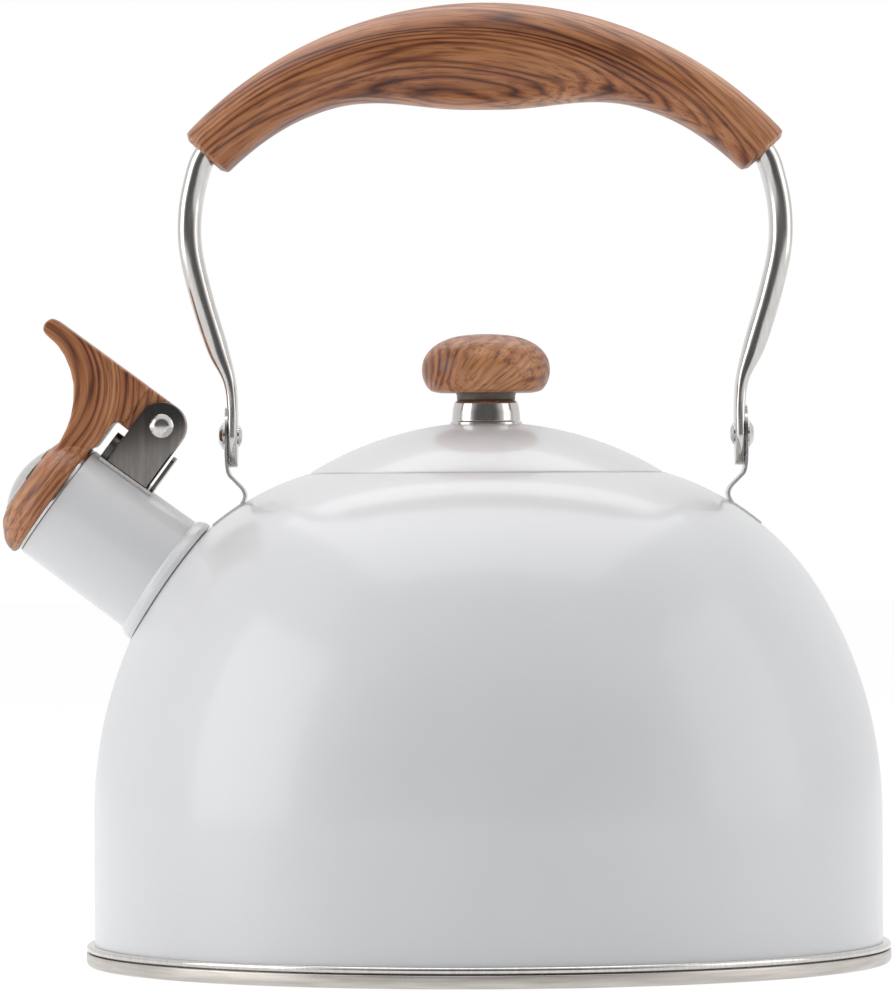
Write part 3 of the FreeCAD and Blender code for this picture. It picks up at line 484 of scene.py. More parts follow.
def dome_enamel():
    half = WALL / 2
    rim = rounded([(LID_R, RIM_Z), (LID_R, SEAT_Z), (LID_R - half, SEAT_Z)])
    inside = dome_line(-half, LID_R - half)
    lip = arc((LID_R + RIM_ROUND, RIM_Z - 0.65), RIM_ROUND, 75, 180, 5)
    profile = dome_line(0.0, LID_R + RIM_ROUND) + lip + rim[1:] + inside[::-1]
    return carved(spun(profile, 240, closed=True), [spout_hole()])


def dome_inside():
    half = WALL / 2
    low = dome_line(-half, LID_R - half)
    high = dome_line(-WALL, LID_R - half - 0.2)
    seat = rounded([(LID_R - half, SEAT_Z + 0.01), (NECK_R, SEAT_Z, 0.9), (NECK_R, SEAT_Z - NECK_H),
                    (NECK_R + WALL, SEAT_Z - NECK_H), (NECK_R + WALL, SEAT_Z - WALL, 0.3),
                    (LID_R - half - 0.2, SEAT_Z - WALL)])
    return carved(spun(low + seat + high[::-1], 240, closed=True), [spout_hole()])


piece("dome", dome_enamel(), ENAMEL, "kettle", ["body_shell"])
piece("dome_lining", dome_inside(), SHEET, "kettle", ())

# %% [markdown]
# ## The base
# The stainless vessel is closed by a sandwich base: a floor with a polished bead, an aluminium
# core, and a dish of magnetic steel that is satin from turning. From the side they show as two
# bands with a dark groove between. Rounded corners are what catches the light, so both rings are
# spun from outlines with real radii.

# %% Base
RING_R, DISH_TOP, PAN_Z, DISH_WALL = 100.5, 3.3, 3.2, 0.6


def base_dish():
    inside = RING_R - DISH_WALL - 0.3
    outline = rounded([(0, 0), (RING_R, 0, 1.3), (RING_R, DISH_TOP, 0.35), (inside, DISH_TOP),
                       (inside, DISH_WALL, 0.8), (0, DISH_WALL)])
    return spun(outline, 240)


def floor_and_bead():
    flange = BASE_R - WALL
    lip = 0.95
    middle = (DISH_TOP + BEAD_TOP) / 2 + 0.12
    bead = arc((RING_R - lip, middle), lip, -78, 82, 10)
    outline = ([(0, PAN_Z), (RING_R - 1.9, PAN_Z), (RING_R - 1.9, DISH_TOP + 0.1)] + bead
               + [(BASE_R + 0.15, BEAD_TOP - 0.12), (BASE_R - 0.1, BEAD_TOP), (flange, BEAD_TOP),
                  (flange, BEAD_TOP + 6.0), (flange - 0.7, BEAD_TOP + 6.0)]
               + rounded([(flange - 0.7, BEAD_TOP + 6.0), (flange - 0.7, PAN_Z + 0.7, 1.5),
                          (0, PAN_Z + 0.7)])[1:])
    return spun(outline, 240)


piece("base_dish", base_dish(), TURNED, "kettle", ["base_cap"])
piece("floor_and_bead", floor_and_bead(), POLISHED, "kettle", ["base_pan"])

# %% [markdown]
# ## Spout and collar
# A short straight tube with a rolled lip, and a white ring round its root. The root of both has
# to follow the dome. So they are spun as if they stood on a flat table, and then each point near
# the root slides along the spout's axis until it lies on the dome.

# %% Spout


def dome_distance(x, y, height):
    """How far up the spout's axis a point must go to stand at a height above the dome."""
    low, high = -60.0, 0.0
    for _ in range(40):
        middle = (low + high) / 2
        point = BENCH @ Vector((x * MM, y * MM, middle * MM)) / MM
        radius = math.hypot(point.x, point.y)
        if math.hypot(radius - CROWN_C[0], point.z - CROWN_C[1]) > CROWN_R + height:
            high = middle
        else:
            low = middle
    return low


def settled(bm, reach):
    """Slides points below a height onto the dome; their own height becomes height above it."""
    for vert in bm.verts:
        x, y, h = vert.co / MM
        if h < reach:
            vert.co.z = dome_distance(x, y, h) * MM
    return bm


def tube_on_dome():
    inner = SPOUT_R - SPOUT_WALL
    lip = rounded([(inner + 0.3, -8.0), (inner, 0, 0.38), (SPOUT_R, 0, 0.38), (SPOUT_R + 0.1, -8.0)])
    root = [(SPOUT_R + 0.45, -30.0), (SPOUT_R + 0.5, -40.0), (inner + 0.6, -40.0), (inner + 0.5, -30.0)]
    bm = spun(lip + root, 128, closed=True)
    for vert in bm.verts:
        x, y, h = vert.co / MM
        if h < -35:
            vert.co.z = dome_distance(x, y, 0.05) * MM
        elif h < -25:
            vert.co.z = dome_distance(x, y, 2.5) * MM
    return on_spout(bm)


def collar_ring():
    inner = SPOUT_R + 0.3
    outline = rounded([(inner, 0.35), (COLLAR_R - 0.1, 0.35, 0.12), (COLLAR_R, 1.5, 1.2),
                       (COLLAR_R - 0.75, 3.0, 0.8), (inner, 3.5)], closed=True, step_deg=15)
    return on_spout(settled(spun(outline, 128, closed=True), 10))


piece("spout", tube_on_dome(), ENAMEL, "kettle", ["spout_tube"])
piece("spout_foot", collar_ring(), ENAMEL, "kettle", ["spout_collar"])

# %% [markdown]
# ## Lid
# The lid is a shallow dome of the same sheet with its edge turned down, sitting in the dome's
# sunk seat, so only a fine seam shows. It is spun like the vessel. The bare locating ring below
# keeps the CAD solid.

# %% Lid
LID_APEX, LID_DOME_R, LID_GAP, SCREW_HOLE_R = 135.0, 83.75, 0.35, 2.1
LID_C_Z = LID_APEX - LID_DOME_R


def lid_z(r, offset=0.0):
    return LID_C_Z + math.sqrt((LID_DOME_R + offset) ** 2 - r ** 2)


def lid_dome():
    edge = LID_R - LID_GAP
    steps = 34
    radii = [SCREW_HOLE_R + (edge - 0.6 - SCREW_HOLE_R) * k / steps for k in range(steps + 1)]
    outside = [(r, lid_z(r)) for r in radii]
    rim = rounded([(edge - 0.6, lid_z(edge - 0.6)), (edge, lid_z(edge), 0.4), (edge, SEAT_Z),
                   (edge - WALL, SEAT_Z)])
    inside = [(r, lid_z(r, -WALL)) for r in [edge - WALL] + radii[::-1]]
    return spun(outside + rim[1:] + inside, 200, closed=True)


piece("lid_dome", lid_dome(), ENAMEL, "lid", ["lid_shell"])

# %% [markdown]
# ## Knob
# The knob's foot is a polished flared ferrule. The knob itself is a mushroom: a short neck, a
# flat underside, a full round edge and a flattened top. The figure fans out upwards, as a film
# does that is drawn over a ball, so the grain's first value is the distance from a low point.
# The neck is a plain brown moulding without the film, coloured dark as painted shade under the knob's
# overhang.

# %% Knob
FERRULE_Z = lid_z(8.75)
KNOB_Z = FERRULE_Z + 6.0
UNDER, KNOB_H, NECK_OUT = 1.8, 16.5, 7.35


def ferrule():
    outline = rounded([(0, FERRULE_Z - 0.4), (9.0, FERRULE_Z - 0.05), (9.0, FERRULE_Z + 0.45, 0.2),
                       (8.55, FERRULE_Z + 0.7, 0.4), (8.35, FERRULE_Z + 3.4, 6.0), (7.85, KNOB_Z, 1.3),
                       (6.0, KNOB_Z), (0, KNOB_Z)], step_deg=6)
    return spun(outline, 128)


def knob_turned():
    under, top = KNOB_Z + UNDER, KNOB_Z + KNOB_H
    stations = [(11.6, under), (14.0, under + 0.7), (15.6, under + 3.2), (16.0, under + 6.2),
                (15.1, under + 9.3), (12.5, under + 12.0), (8.5, under + 13.8), (4.2, top - 0.2),
                (0.0, top)]
    bowl = [smooth_path(stations, k / 48) for k in range(49)]
    return spun([(0, under)] + bowl, 128)


def knob_neck():
    under = KNOB_Z + UNDER
    return spun(rounded([(0, KNOB_Z), (NECK_OUT, KNOB_Z, 0.25), (NECK_OUT - 0.15, KNOB_Z + 1.0, 2.0),
                         (NECK_OUT + 0.25, under), (0, under)]), 96)


def neck_moulding_painted_shade():
    """Plain brown moulding for the knob's neck, dark as painted shade under the knob: dull, with a very
    fine spark grain.
    """
    material, tree = finish_named("neck_moulding_painted_shade_brown")
    place = add(tree, "ShaderNodeTexCoord").outputs["Object"]
    cloud = add(tree, "ShaderNodeTexNoise", links={"Vector": place, "Scale": 300.0, "Detail": 3.0})
    spark = add(tree, "ShaderNodeTexNoise", links={"Vector": place, "Scale": 2500.0})
    bump = add(tree, "ShaderNodeBump", links={
        "Height": spark.outputs["Fac"], "Strength": 0.15, "Distance": 0.0001})
    # The dark brown tones are painted shade under the knob's overhang.
    surface(tree, Base_Color=ramp(tree, cloud.outputs["Fac"], [(0.3, "5F5148"), (0.7, "75665B")]),
            Roughness=0.4, Normal=bump.outputs["Normal"])
    return material


def grained(thing, rule):
    """Writes the grain attribute: rule(point) gives (along, across, through) in metres."""
    values = thing.data.attributes.new("grain", "FLOAT_VECTOR", "POINT")
    for vert, slot in zip(thing.data.vertices, values.data):
        slot.vector = rule(vert.co)
    return thing


piece("knob_foot", ferrule(), POLISHED, "lid", ["knob_ferrule"])
knob = piece("knob_wood", knob_turned(), WOOD, "lid", ["knob"])
piece("knob_neck", knob_neck(), neck_moulding_painted_shade(), "lid", ())
FAN_FOOT = Vector((-14.0, KNOB_Z - 8.0)) * MM
FAN_TURN = 0.018


def fanned(p):
    """The knob's film was drawn up over it, and its lines fan out from a point low on one side."""
    away = Vector((p.x, p.z)) - FAN_FOOT
    return away.length, math.atan2(away.y, away.x) * FAN_TURN + 0.3, p.y * 0.7


grained(knob, fanned)

# %% [markdown]
# ## Handle
# Two stainless bars run up from the rivets, flat at the foot and full round at the edges above,
# and bend inwards into the grip. Each is woven round a path: a rounded section is carried along
# a smooth line through a few stations. The grip is made the same way round an arc, fuller in
# the middle where the fingers close.

# %% Handle paths
GRIP_R, GRIP_TOP, GRIP_T, GRIP_W = 102.0, 239.9, 26.75, 27.0
GRIP_END_T, GRIP_END_W, GRIP_END = 14.2, 19.5, 47.5
EAR_X, EAR_GAP, TAB_T, TAB_HALF_W, ARM_T, ARM_HALF_W = 64.9, 0.3, 2.4, 7.0, 5.6, 6.5
SOCKET_GAP = 0.45
PIVOT = PIVOT_Z / MM


def grip_thickness(deg):
    swell = math.exp(-(abs(deg) / 21.0) ** 2.4)
    slope = 1.0 - 0.02 * max(0.0, abs(deg) - 30.0) / 5.0
    return (GRIP_END_T + 1.1) * slope + (GRIP_T - GRIP_END_T - 1.1) * swell


def grip_width(deg):
    return GRIP_W + (GRIP_END_W - GRIP_W) * (abs(deg) / GRIP_END) ** 1.6


def grip_middle(deg):
    radius = GRIP_R - grip_thickness(deg) / 2
    a = math.radians(deg)
    return radius * math.sin(a), GRIP_TOP - GRIP_R + radius * math.cos(a)


def arm_stations():
    """(x, z, half width, thickness) of the right arm, from its round foot into the grip."""
    x = EAR_X - EAR_GAP - TAB_T / 2
    rows = [(x, PIVOT - 7.8, TAB_HALF_W, TAB_T), (x, PIVOT, TAB_HALF_W, TAB_T),
            (x, PIVOT + 7.0, TAB_HALF_W, TAB_T), (x + 0.8, PIVOT + 14.0, TAB_HALF_W, 3.0),
            (x + 3.8, PIVOT + 22.2, ARM_HALF_W, 5.2), (x + 7.5, PIVOT + 34.2, ARM_HALF_W, ARM_T),
            (x + 10.2, PIVOT + 46.2, ARM_HALF_W, ARM_T), (x + 10.4, PIVOT + 55.5, ARM_HALF_W, ARM_T),
            (x + 8.9, PIVOT + 64.0, ARM_HALF_W, ARM_T)]
    for deg in (GRIP_END, GRIP_END - 4.5, GRIP_END - 9.0):
        rows.append((*grip_middle(deg), ARM_HALF_W, ARM_T))
    return rows


print("arm stations:", len(arm_stations()))

# %% [markdown]
# ## Arms
# A bent bar could be a curve with a bevel, but its section changes from a flat tab with a half
# round end to a bar with full edges, so it is woven. The same function, a little grown, makes
# the tool that cuts the sockets in the grip.

# %% Arms
ROUND_FOOT = 7.0


def arm(side, grow=0.0):
    """The arm on one side, +1 right or -1 left, grown all round where it is used as a cutter."""
    stations = arm_stations()

    def place(u, v):
        x, z, half_w, thick = smooth_path(stations, u)
        ahead = smooth_path(stations, min(1.0, u + 0.002))
        behind = smooth_path(stations, max(0.0, u - 0.002))
        run = Vector((ahead[0] - behind[0], ahead[1] - behind[1])).normalized()
        half_w, half_t = half_w + grow, thick / 2 + grow
        low = z - (PIVOT - TAB_HALF_W - 0.8)
        if low < ROUND_FOOT:
            half_w *= math.sqrt(max(0.0, 1 - (1 - low / ROUND_FOOT) ** 2)) + 0.001
        a = math.tau * v
        if half_w > half_t:
            edge = half_t * 0.95
            y = math.copysign(max(0.0, half_w - edge), math.cos(a)) + edge * math.cos(a)
        else:
            y = half_w * math.cos(a)
        t = half_t * math.sin(a)
        return Vector((side * (x - run.y * t), y, z + run.x * t)) * MM

    return woven(90, 28, place, tube=True)


for side, word in SIDES:
    piece(f"arm_bar_{word}", arm(side), POLISHED, "handle", [f"arm_{word}"])

# %% [markdown]
# ## Grip
# The grip is one moulding, fuller in the middle and rounded at its ends. Its section is a
# superellipse, between an oval and a box, which is how a comfortable handle is drawn. Real
# sockets are cut where the arms go in, so the gap round each arm is a true shadow.

# %% Grip
END_ROUND, SQUARENESS = 1.6, 0.85


def grip_body():
    """A soft squarish oval carried round the arc, with rounded ends."""
    end = GRIP_R * math.radians(GRIP_END)

    def place(u, v):
        shift = (2 * u - 1) * end
        deg = math.degrees(shift / GRIP_R)
        short = max(0.0, END_ROUND - (end - abs(shift)))
        inset = END_ROUND - math.sqrt(max(0.0, END_ROUND ** 2 - short ** 2))
        half_t, half_w = grip_thickness(deg) / 2 - inset, grip_width(deg) / 2 - inset
        x, z = grip_middle(deg)
        a = math.tau * v
        c, s = math.cos(a), math.sin(a)
        y = math.copysign(abs(c) ** SQUARENESS, c) * half_w
        t = math.copysign(abs(s) ** SQUARENESS, s) * half_t
        turn = math.radians(deg)
        return Vector((x + math.sin(turn) * t, y, z + math.cos(turn) * t)) * MM

    return woven(180, 64, place, tube=True)


sockets = [arm(side, SOCKET_GAP) for side, _ in SIDES]
grip = piece("grip_wood", carved(grip_body(), sockets), WOOD, "handle", ["grip"])


def along_grip(p):
    """The grain runs round the grip's arc, a little aslant, with its rings one above another."""
    x, z = p.x, p.z - (GRIP_TOP - GRIP_R) * MM
    turn = math.atan2(x, z)
    return turn * GRIP_R * MM, math.hypot(x, z) + 0.01 * turn + 0.35 * p.y, p.y


grained(grip, along_grip)

# %% [markdown]
# ## Ears
# Each ear is one strip of thin sheet: a foot pressed to the dome and spot-welded, an S-shaped
# joggle, and an upright with a round top about the rivet. A grid is laid along that path, and the
# strip gets its thickness at the end.

# %% Ears
EAR_T, EAR_HALF_W = 0.7, 7.2
FOOT_IN, FOOT_OUT = 61.6, 68.5
FOOT_SHARE, JOGGLE_SHARE = 0.3, 0.45


def ear_stations():
    """(x, z) up the right ear's middle: joggle and upright. The foot is worked out apart."""
    x = EAR_X + EAR_T / 2
    return [(FOOT_IN, crown_z(FOOT_IN) + 0.5), (60.7, crown_z(61.0) + 1.9), (61.2, crown_z(61.0) + 3.6),
            (63.2, crown_z(61.0) + 5.7), (x - 0.5, crown_z(61.0) + 7.6), (x, PIVOT - 5.5), (x, PIVOT)]


def ear(side):
    joggle = ear_stations()
    top_from = FOOT_SHARE + JOGGLE_SHARE

    def place(u, v):
        w = (2 * v - 1) * EAR_HALF_W
        if u < FOOT_SHARE:
            x = FOOT_OUT + (FOOT_IN - FOOT_OUT) * u / FOOT_SHARE
            return Vector((side * x, w, crown_z(math.hypot(x, w)) + 0.45)) * MM
        if u < top_from:
            up = (u - FOOT_SHARE) / JOGGLE_SHARE
            x, z = smooth_path(joggle, up)
            lower = crown_z(FOOT_IN) - crown_z(math.hypot(FOOT_IN, w))
            return Vector((side * x, w, z - lower * (1 - up) ** 2)) * MM
        a = (u - top_from) / (1 - top_from) * math.radians(86)
        return Vector((side * joggle[-1][0], w * math.cos(a), PIVOT + EAR_HALF_W * math.sin(a))) * MM

    bm = woven(60, 12, place)
    bmesh.ops.solidify(bm, geom=bm.faces, thickness=EAR_T * MM)
    tidy(bm)
    return bm


for side, word in SIDES:
    piece(f"ear_strip_{word}", ear(side), SHEET, "kettle", [f"ear_{word}"])

# %% [markdown]
# ## Rivets and pins
# A rivet's head is a shallow dome with a small flat where the snap pressed it. Spun heads on a
# shank do that, laid along X for the handle and along Y for the cap.

# %% Rivets


def rivet(shank_r, low, high, heads):
    """A rivet along Z from low to high; heads are (radius, rise) for the low and the high end."""
    (low_r, low_h), (high_r, high_h) = heads
    low_head = [(0, low - low_h), (low_r * 0.55, low - low_h * 0.93, 1.6),
                (low_r, low - 0.15, 0.2), (low_r, low, 0.05)]
    high_head = [(high_r, high, 0.05), (high_r, high + 0.15, 0.2),
                 (high_r * 0.55, high + high_h * 0.93, 1.6), (0, high + high_h)]
    return spun(rounded(low_head + [(shank_r, low), (shank_r, high)] + high_head, step_deg=8), 48)


def laid(bm, axis_turn, at):
    """Turns a rivet from the bench and puts it in its place."""
    bmesh.ops.transform(bm, matrix=Matrix.Translation(at) @ axis_turn, verts=bm.verts)
    return bm


for side, word in SIDES:
    low, high = EAR_X - EAR_GAP - 0.3 - TAB_T, EAR_X + 0.8
    body = rivet(2.0, low, high, ((2.7, 0.9), (3.4, 1.25)))
    laid(body, Matrix.Rotation(math.radians(90 * side), 4, "Y"), Vector((0, 0, PIVOT_Z)))
    piece(f"rivet_{word}", body, POLISHED, "kettle", [f"handle_rivet_{word}"])

# %% [markdown]
# ## Cap hinge
# The bracket is a pressed clevis on a saddle: two cheeks with round tops and a small tab at each
# end. The cheeks are brushed plate with broken edges, and it is those bevelled edges that draw
# the bright line round them. Each plate is an outline, extruded and bevelled.

# %% Plates


def plate(outline, low, high, bevel):
    """An outline in the spout's side view, extruded across the spout and bevelled."""
    bm = bmesh.new()
    face = bm.faces.new([bm.verts.new((x * MM, low * MM, z * MM)) for x, z in outline])
    made = bmesh.ops.extrude_face_region(bm, geom=[face])
    moved = [item for item in made["geom"] if isinstance(item, bmesh.types.BMVert)]
    bmesh.ops.translate(bm, verts=moved, vec=(0, (high - low) * MM, 0))
    bmesh.ops.recalc_face_normals(bm, faces=bm.faces)
    rims = [edge for edge in bm.edges if edge.calc_face_angle(0.0) > math.radians(50)]
    if bevel:
        bmesh.ops.bevel(bm, geom=rims, offset=bevel * MM, segments=2, affect="EDGES", profile=0.5,
                        material=-1, clamp_overlap=True)
    tidy(bm)
    return bm


def joined(parts):
    """Several closed bmeshes as one, each kept whole."""
    result = bmesh.new()
    for part in parts:
        mesh = bpy.data.meshes.new("part")
        part.to_mesh(mesh)
        part.free()
        result.from_mesh(mesh)
        bpy.data.meshes.remove(mesh)
    return result


CHEEK_R, CHEEK_T, CHEEK_OUT, CHEEK_FOOT, BROKEN_EDGE = 6.0, 1.0, 6.0, 14.6, 0.34
SADDLE_HALF_W, SADDLE_R, SADDLE_FROM, SADDLE_LONG, SADDLE_T = 6.6, 16.6, 2.2, 15.8, 1.0


def cheek(side):
    top = [uv(u, v) for u, v in arc((PIN_U, PIN_V), CHEEK_R, 180, 0, 18)]
    outline = [uv(PIN_U - CHEEK_R, CHEEK_FOOT)] + top + [uv(PIN_U + CHEEK_R, CHEEK_FOOT)]
    low, high = sorted((side * CHEEK_OUT, side * (CHEEK_OUT - CHEEK_T)))
    return plate(outline, low, high, BROKEN_EDGE)


def saddle():
    """The strap that hugs the tube below the cheeks."""

    def place(u, v):
        a = (2 * v - 1) * math.asin(SADDLE_HALF_W / SADDLE_R)
        along = SADDLE_FROM + SADDLE_LONG * u
        r = SPOUT_R + 0.5 * along / 32 + 0.05
        return Vector((r * math.cos(a), r * math.sin(a), -along)) * MM

    bm = woven(16, 12, place)
    bmesh.ops.solidify(bm, geom=bm.faces, thickness=-SADDLE_T * MM)
    tidy(bm)
    return bm


def tab(u, top, half_w, thick=0.9, corner=1.6):
    """A small upright tab across the bracket, with rounded upper corners."""
    foot = CHEEK_FOOT + 0.3
    outline = rounded([(foot, -half_w), (top, -half_w, corner), (top, half_w, corner), (foot, half_w)],
                      step_deg=10)
    bm = bmesh.new()
    face = bm.faces.new([bm.verts.new((x * MM, y * MM, -u * MM)) for x, y in outline])
    made = bmesh.ops.extrude_face_region(bm, geom=[face])
    moved = [item for item in made["geom"] if isinstance(item, bmesh.types.BMVert)]
    bmesh.ops.translate(bm, verts=moved, vec=(0, 0, -thick * MM))
    tidy(bm)
    return bm


front_tab = tab(u=2.0, top=22.7, half_w=4.6, thick=1.7, corner=3.8)
rear_tab = tab(u=16.9, top=26.0, half_w=4.6)
bracket = joined([cheek(1), cheek(-1), front_tab, rear_tab])
# The hinge plates take the darkened steel, painted shade for their dark reflection.
piece("hinge_plates", on_spout(bracket), PLATE_STEEL_PAINTED_DARK, "kettle", ["hinge_bracket"])
piece("hinge_saddle", on_spout(saddle()), POLISHED, "kettle", ())

pin = rivet(1.6, -CHEEK_OUT, CHEEK_OUT, ((3.0, 1.1), (3.0, 1.1)))
laid(pin, Matrix.Rotation(math.radians(90), 4, "X"), Vector((PIN_V * MM, 0, -PIN_U * MM)))
piece("hinge_pin", on_spout(pin), POLISHED, "kettle", ["cap_hinge_pin"])

# %% [markdown]
# ## Cap and lever
# The cap is one thick moulding: a round head over the mouth, a scooped thumb lever above, and a
# narrow lug on the pin. In a mould every inner corner has a radius. Joining three simple solids
# and remeshing them in fine voxels gives those soft corners by itself, and a little smoothing
# takes the steps out.

# %% Cap
CAP_R, CAP_T, CAP_GAP, LINER_T, LEVER_HALF_W, LEVER_TOP = 16.8, 9.2, 0.1, 0.9, 9.0, 36.4
LUG_HALF_W = 4.7


def cap_head():
    back = CAP_GAP + LINER_T
    return spun(rounded([(0, back), (CAP_R, back, 0.4), (CAP_R + 0.1, CAP_T - 5.2, 5.0),
                         (12.4, CAP_T - 0.9, 4.0), (9.5, CAP_T, 0.3), (0, CAP_T)], step_deg=8), 96)


def cap_lever():
    scoop = [uv(-8.7, 16.1), uv(-9.6, 19.0), uv(-11.3, 22.4), uv(-13.8, 25.9), uv(-16.6, 28.4),
             uv(-19.8, 30.3), uv(-22.8, 31.4)]
    tip = [(*uv(-28.6, 32.0), 2.0), (*uv(-28.4, LEVER_TOP), 2.0)]
    heel = [uv(2.0, LEVER_TOP), uv(2.0, 25.2), (*uv(-CAP_GAP, 24.6), 1.0), uv(-CAP_GAP, 16.3),
            uv(-CAP_GAP - LINER_T, 16.0), uv(-CAP_GAP - LINER_T, 0)]
    outline = rounded([uv(-8.0, 0), uv(-8.0, 11.5)] + scoop + tip + heel, closed=True, step_deg=15)
    return plate(outline, -LEVER_HALF_W, LEVER_HALF_W, 1.3)


def cap_lug():
    lug_r = LEVER_TOP - PIN_V
    nose = [uv(PIN_U + lug_r * math.sin(math.radians(a)), PIN_V + lug_r * math.cos(math.radians(a)))
            for a in range(0, 181, 12)]
    return plate([uv(0, LEVER_TOP)] + nose + [uv(0, PIN_V - lug_r + 0.3)], -LUG_HALF_W, LUG_HALF_W, 0.4)


def moulded(parts, voxel_mm, rounds):
    """Joins closed solids into one moulding with soft corners."""
    work = bpy.data.objects.new("moulding", bpy.data.meshes.new("moulding"))
    bpy.context.scene.collection.objects.link(work)
    whole = joined(parts)
    whole.to_mesh(work.data)
    whole.free()
    remesh = work.modifiers.new("voxels", "REMESH")
    remesh.mode, remesh.voxel_size = "VOXEL", voxel_mm * MM
    result = bmesh.new()
    result.from_object(work, bpy.context.evaluated_depsgraph_get())
    for _ in range(rounds):
        bmesh.ops.smooth_vert(result, verts=result.verts, factor=0.5, use_axis_x=True, use_axis_y=True,
                              use_axis_z=True)
    mesh = work.data
    bpy.data.objects.remove(work)
    bpy.data.meshes.remove(mesh)
    return result


VOXEL = 0.42
moulding = moulded([cap_head(), cap_lever(), cap_lug()], VOXEL, rounds=6)
cap = piece("cap_and_lever", on_spout(moulding), WOOD, "cap", ["spout_cap"],
            sharp_deg=60.0)
BACK = BENCH.inverted()
HOLLOW = Vector((25.0, 17.0)) * MM
CROWDED = 1.25


def along_lever(p):
    """The film runs straight up the cap, and then bends forwards with the lever's hollow."""
    q = BACK @ p
    side = Vector((q.z, q.x)) - HOLLOW
    if side.y < 0:
        return side.y, -side.x * CROWDED + 0.1, q.y * 0.6
    return math.atan2(side.y, -side.x) * side.length, side.length * CROWDED + 0.1, q.y * 0.6


grained(cap, along_lever)

# %% [markdown]
# ## Liner and whistle
# A steel plate backs the cap and closes the mouth. In front, a domed disc with a small hole is
# the whistle's voice: steam leaves through two holes in line, and the jet between them sings.

# %% Liner and whistle
WHISTLE_R, WHISTLE_RISE, WHISTLE_T, VOICE_R = 9.3, 2.6, 0.5, 1.2
LINER_IN, LINER_OUT = 4.0, 15.4


def liner():
    front = CAP_GAP + LINER_T
    outline = [(LINER_IN, CAP_GAP), (LINER_OUT, CAP_GAP, 0.2), (LINER_OUT, front, 0.2), (LINER_IN, front)]
    return spun(rounded(outline, closed=True), 96, closed=True)


def whistle_disc():
    ball = (WHISTLE_R ** 2 + WHISTLE_RISE ** 2) / (2 * WHISTLE_RISE)
    centre = CAP_T + WHISTLE_RISE - ball
    edge = math.degrees(math.acos(WHISTLE_R / ball))
    voice = math.degrees(math.acos(VOICE_R / ball))
    outside = arc((0, centre), ball, edge + 1.5, voice, 20)
    inside = arc((0, centre), ball - WHISTLE_T, voice, edge + 2.0, 20)
    return spun([(WHISTLE_R, CAP_T + 0.02), (WHISTLE_R, CAP_T + 0.3)] + outside + inside
                + [(WHISTLE_R - 0.6, CAP_T + 0.02)], 96, closed=True)


piece("liner_plate", on_spout(liner()), POLISHED, "cap", ["cap_liner"])
piece("whistle_disc", on_spout(whistle_disc()), POLISHED, "cap", ["whistle_outer"])

# %% [markdown]
# ## Pieces that stay
# Screws, the washer, the insert, the spring, the core and the lid's ring are right as the frame
# has them. Modelling them again would add nothing, so they only get their metal.

# %% Finishes of the other nodes
kept = {
    "heat_spreader": CORE, "cap_spring": WIRE, "lid_skirt": SHEET, "knob_insert": BRASS,
    "knob_washer": SHEET, "knob_screw": SCREW, "grip_screws": SCREW, "liner_screws": SCREW,
    "whistle_inner": SHEET,
}
for name, material in kept.items():
    mesh = frame["nodes"][name].data
    mesh.materials.clear()
    mesh.materials.append(material)
print("kept nodes:", len(kept))

# %% [markdown]
# ## Studio
# A product on white is lit by large soft boxes at both sides and above, with the dark of the room
# left open behind the camera. Metal shows exactly that: white flanks and a dark band where it
# faces the lens. The world holds this room for reflections and an even grey for soft light, and
# three lamps add direction.

# %% Floor and world
FLOOR_HALF, FLOOR_DROP = 6.0, 0.05


def studio_floor():
    bm = bmesh.new()
    bmesh.ops.create_grid(bm, x_segments=1, y_segments=1, size=FLOOR_HALF)
    bmesh.ops.translate(bm, verts=bm.verts, vec=(0, 0, -FLOOR_DROP * MM))
    mesh = bpy.data.meshes.new("studio_floor")
    bm.to_mesh(mesh)
    bm.free()
    floor = bpy.data.objects.new("studio_floor", mesh)
    bpy.context.scene.collection.objects.link(floor)
    material, tree = finish_named("studio_white")
    path = add(tree, "ShaderNodeLightPath")
    seen = add(tree, "ShaderNodeMath", {"operation": "MAXIMUM"},
               {0: path.outputs["Is Camera Ray"], 1: path.outputs["Is Glossy Ray"]})
    seen = add(tree, "ShaderNodeMath", {"operation": "MAXIMUM"},
               {0: seen.outputs["Value"], 1: path.outputs["Is Transmission Ray"]})
    glow_share = add(tree, "ShaderNodeMath", {"operation": "MULTIPLY"}, {
        0: seen.outputs["Value"], 1: 0.85})
    matt = add(tree, "ShaderNodeBsdfDiffuse", links={"Color": srgb("F2F2F2")})
    glow = add(tree, "ShaderNodeEmission", links={"Color": (1, 1, 1, 1), "Strength": 1.1})
    mix = add(tree, "ShaderNodeMixShader", links={
        0: glow_share.outputs["Value"], 1: matt.outputs["BSDF"], 2: glow.outputs["Emission"]})
    add(tree, "ShaderNodeOutputMaterial", links={"Surface": mix.outputs["Shader"]})
    mesh.materials.append(material)


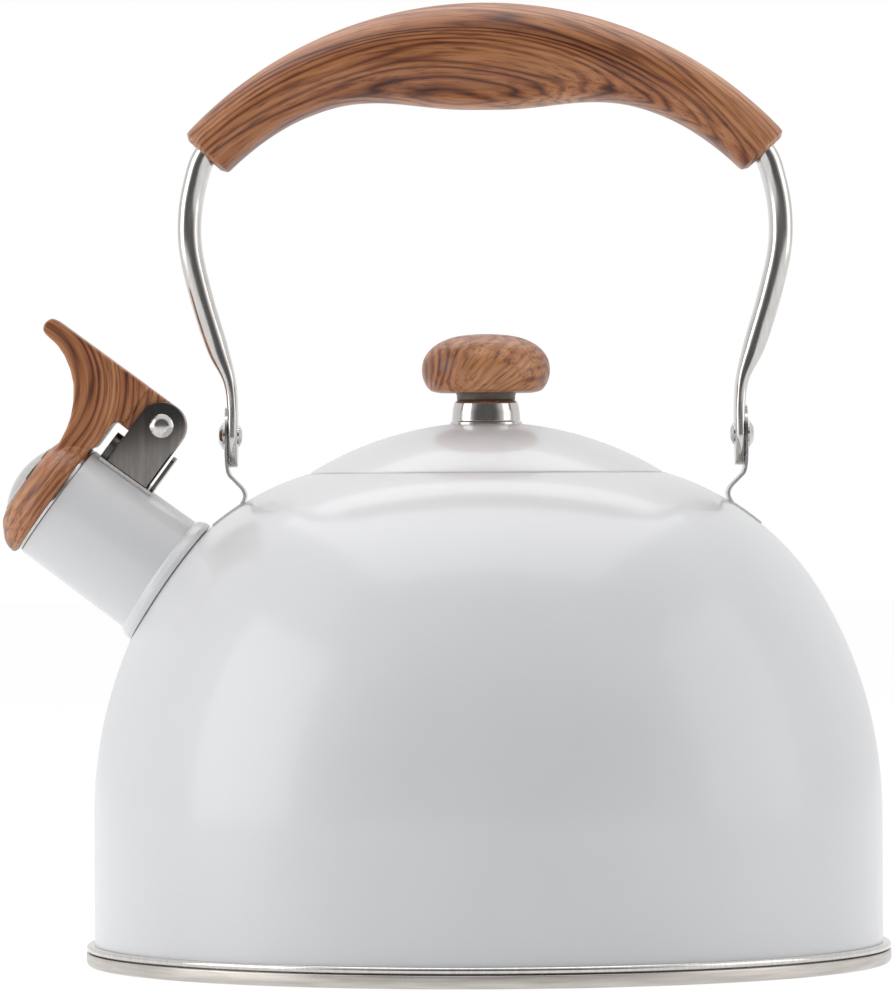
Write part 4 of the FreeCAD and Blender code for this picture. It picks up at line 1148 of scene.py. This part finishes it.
def studio_world():
    world = bpy.data.worlds.new("studio")
    bpy.context.scene.world = world
    world.use_nodes = True
    tree = world.node_tree
    tree.nodes.clear()
    way = add(tree, "ShaderNodeTexCoord").outputs["Generated"]
    parts = add(tree, "ShaderNodeSeparateXYZ", links={"Vector": way})
    room = add(tree, "ShaderNodeMapRange", {"interpolation_type": "SMOOTHSTEP"}, {
        "Value": parts.outputs["Y"], "From Min": -0.85, "From Max": -0.42,
        "To Min": 0.13, "To Max": 0.88})
    path = add(tree, "ShaderNodeLightPath")
    mirror = add(tree, "ShaderNodeMix", {"data_type": "FLOAT"}, {
        "Factor": path.outputs["Is Glossy Ray"], "A": 0.39, "B": room.outputs["Result"]})
    seen = add(tree, "ShaderNodeMath", {"operation": "MAXIMUM"},
               {0: path.outputs["Is Camera Ray"], 1: path.outputs["Is Transmission Ray"]})
    level = add(tree, "ShaderNodeMix", {"data_type": "FLOAT"}, {
        "Factor": seen.outputs["Value"], "A": mirror.outputs["Result"], "B": 1.0})
    light = add(tree, "ShaderNodeBackground", links={
        "Color": (1, 1, 1, 1), "Strength": level.outputs["Result"]})
    add(tree, "ShaderNodeOutputWorld", links={"Surface": light.outputs["Background"]})


def soft_box(name, at, aim, width, height, watts):
    lamp = bpy.data.lights.new(name, "AREA")
    lamp.shape, lamp.size, lamp.size_y, lamp.energy = "RECTANGLE", width, height, watts
    thing = bpy.data.objects.new(name, lamp)
    bpy.context.scene.collection.objects.link(thing)
    thing.location = at
    thing.rotation_euler = (Vector(aim) - Vector(at)).to_track_quat("-Z", "Y").to_euler()


studio_floor()
studio_world()
MIDDLE = (0.0, 0.0, 0.1)
soft_box("box_left", (-1.3, -0.35, 0.45), MIDDLE, 0.9, 1.2, 5.8)
soft_box("box_right", (1.3, -0.2, 0.45), MIDDLE, 0.9, 1.2, 3.1)
soft_box("box_above", (0.0, 0.3, 1.4), MIDDLE, 1.5, 1.6, 11.5)
print("lamps:", [lamp.name for lamp in bpy.data.lights])

# %% [markdown]
# ## Camera
# A long lens from almost two metres away keeps the kettle's sides nearly parallel, as product
# views do. It looks straight along Y at mid height, and is rolled by a third of a degree.

# %% Camera
ROLL = -0.0053
camera = bpy.data.cameras.new("camera")
camera.sensor_width, camera.sensor_fit, camera.lens = 36.0, "AUTO", 257.0
eye = bpy.data.objects.new("camera", camera)
bpy.context.scene.collection.objects.link(eye)
eye.location = (-0.0099, -1.77, 0.1167)
eye.rotation_euler = (Matrix.Rotation(math.radians(90), 4, "X") @ Matrix.Rotation(ROLL, 4, "Z")).to_euler()
bpy.context.scene.camera = eye
bpy.context.scene.view_settings.view_transform = "Standard"
print("camera at", tuple(eye.location), "with a lens of", camera.lens, "mm")
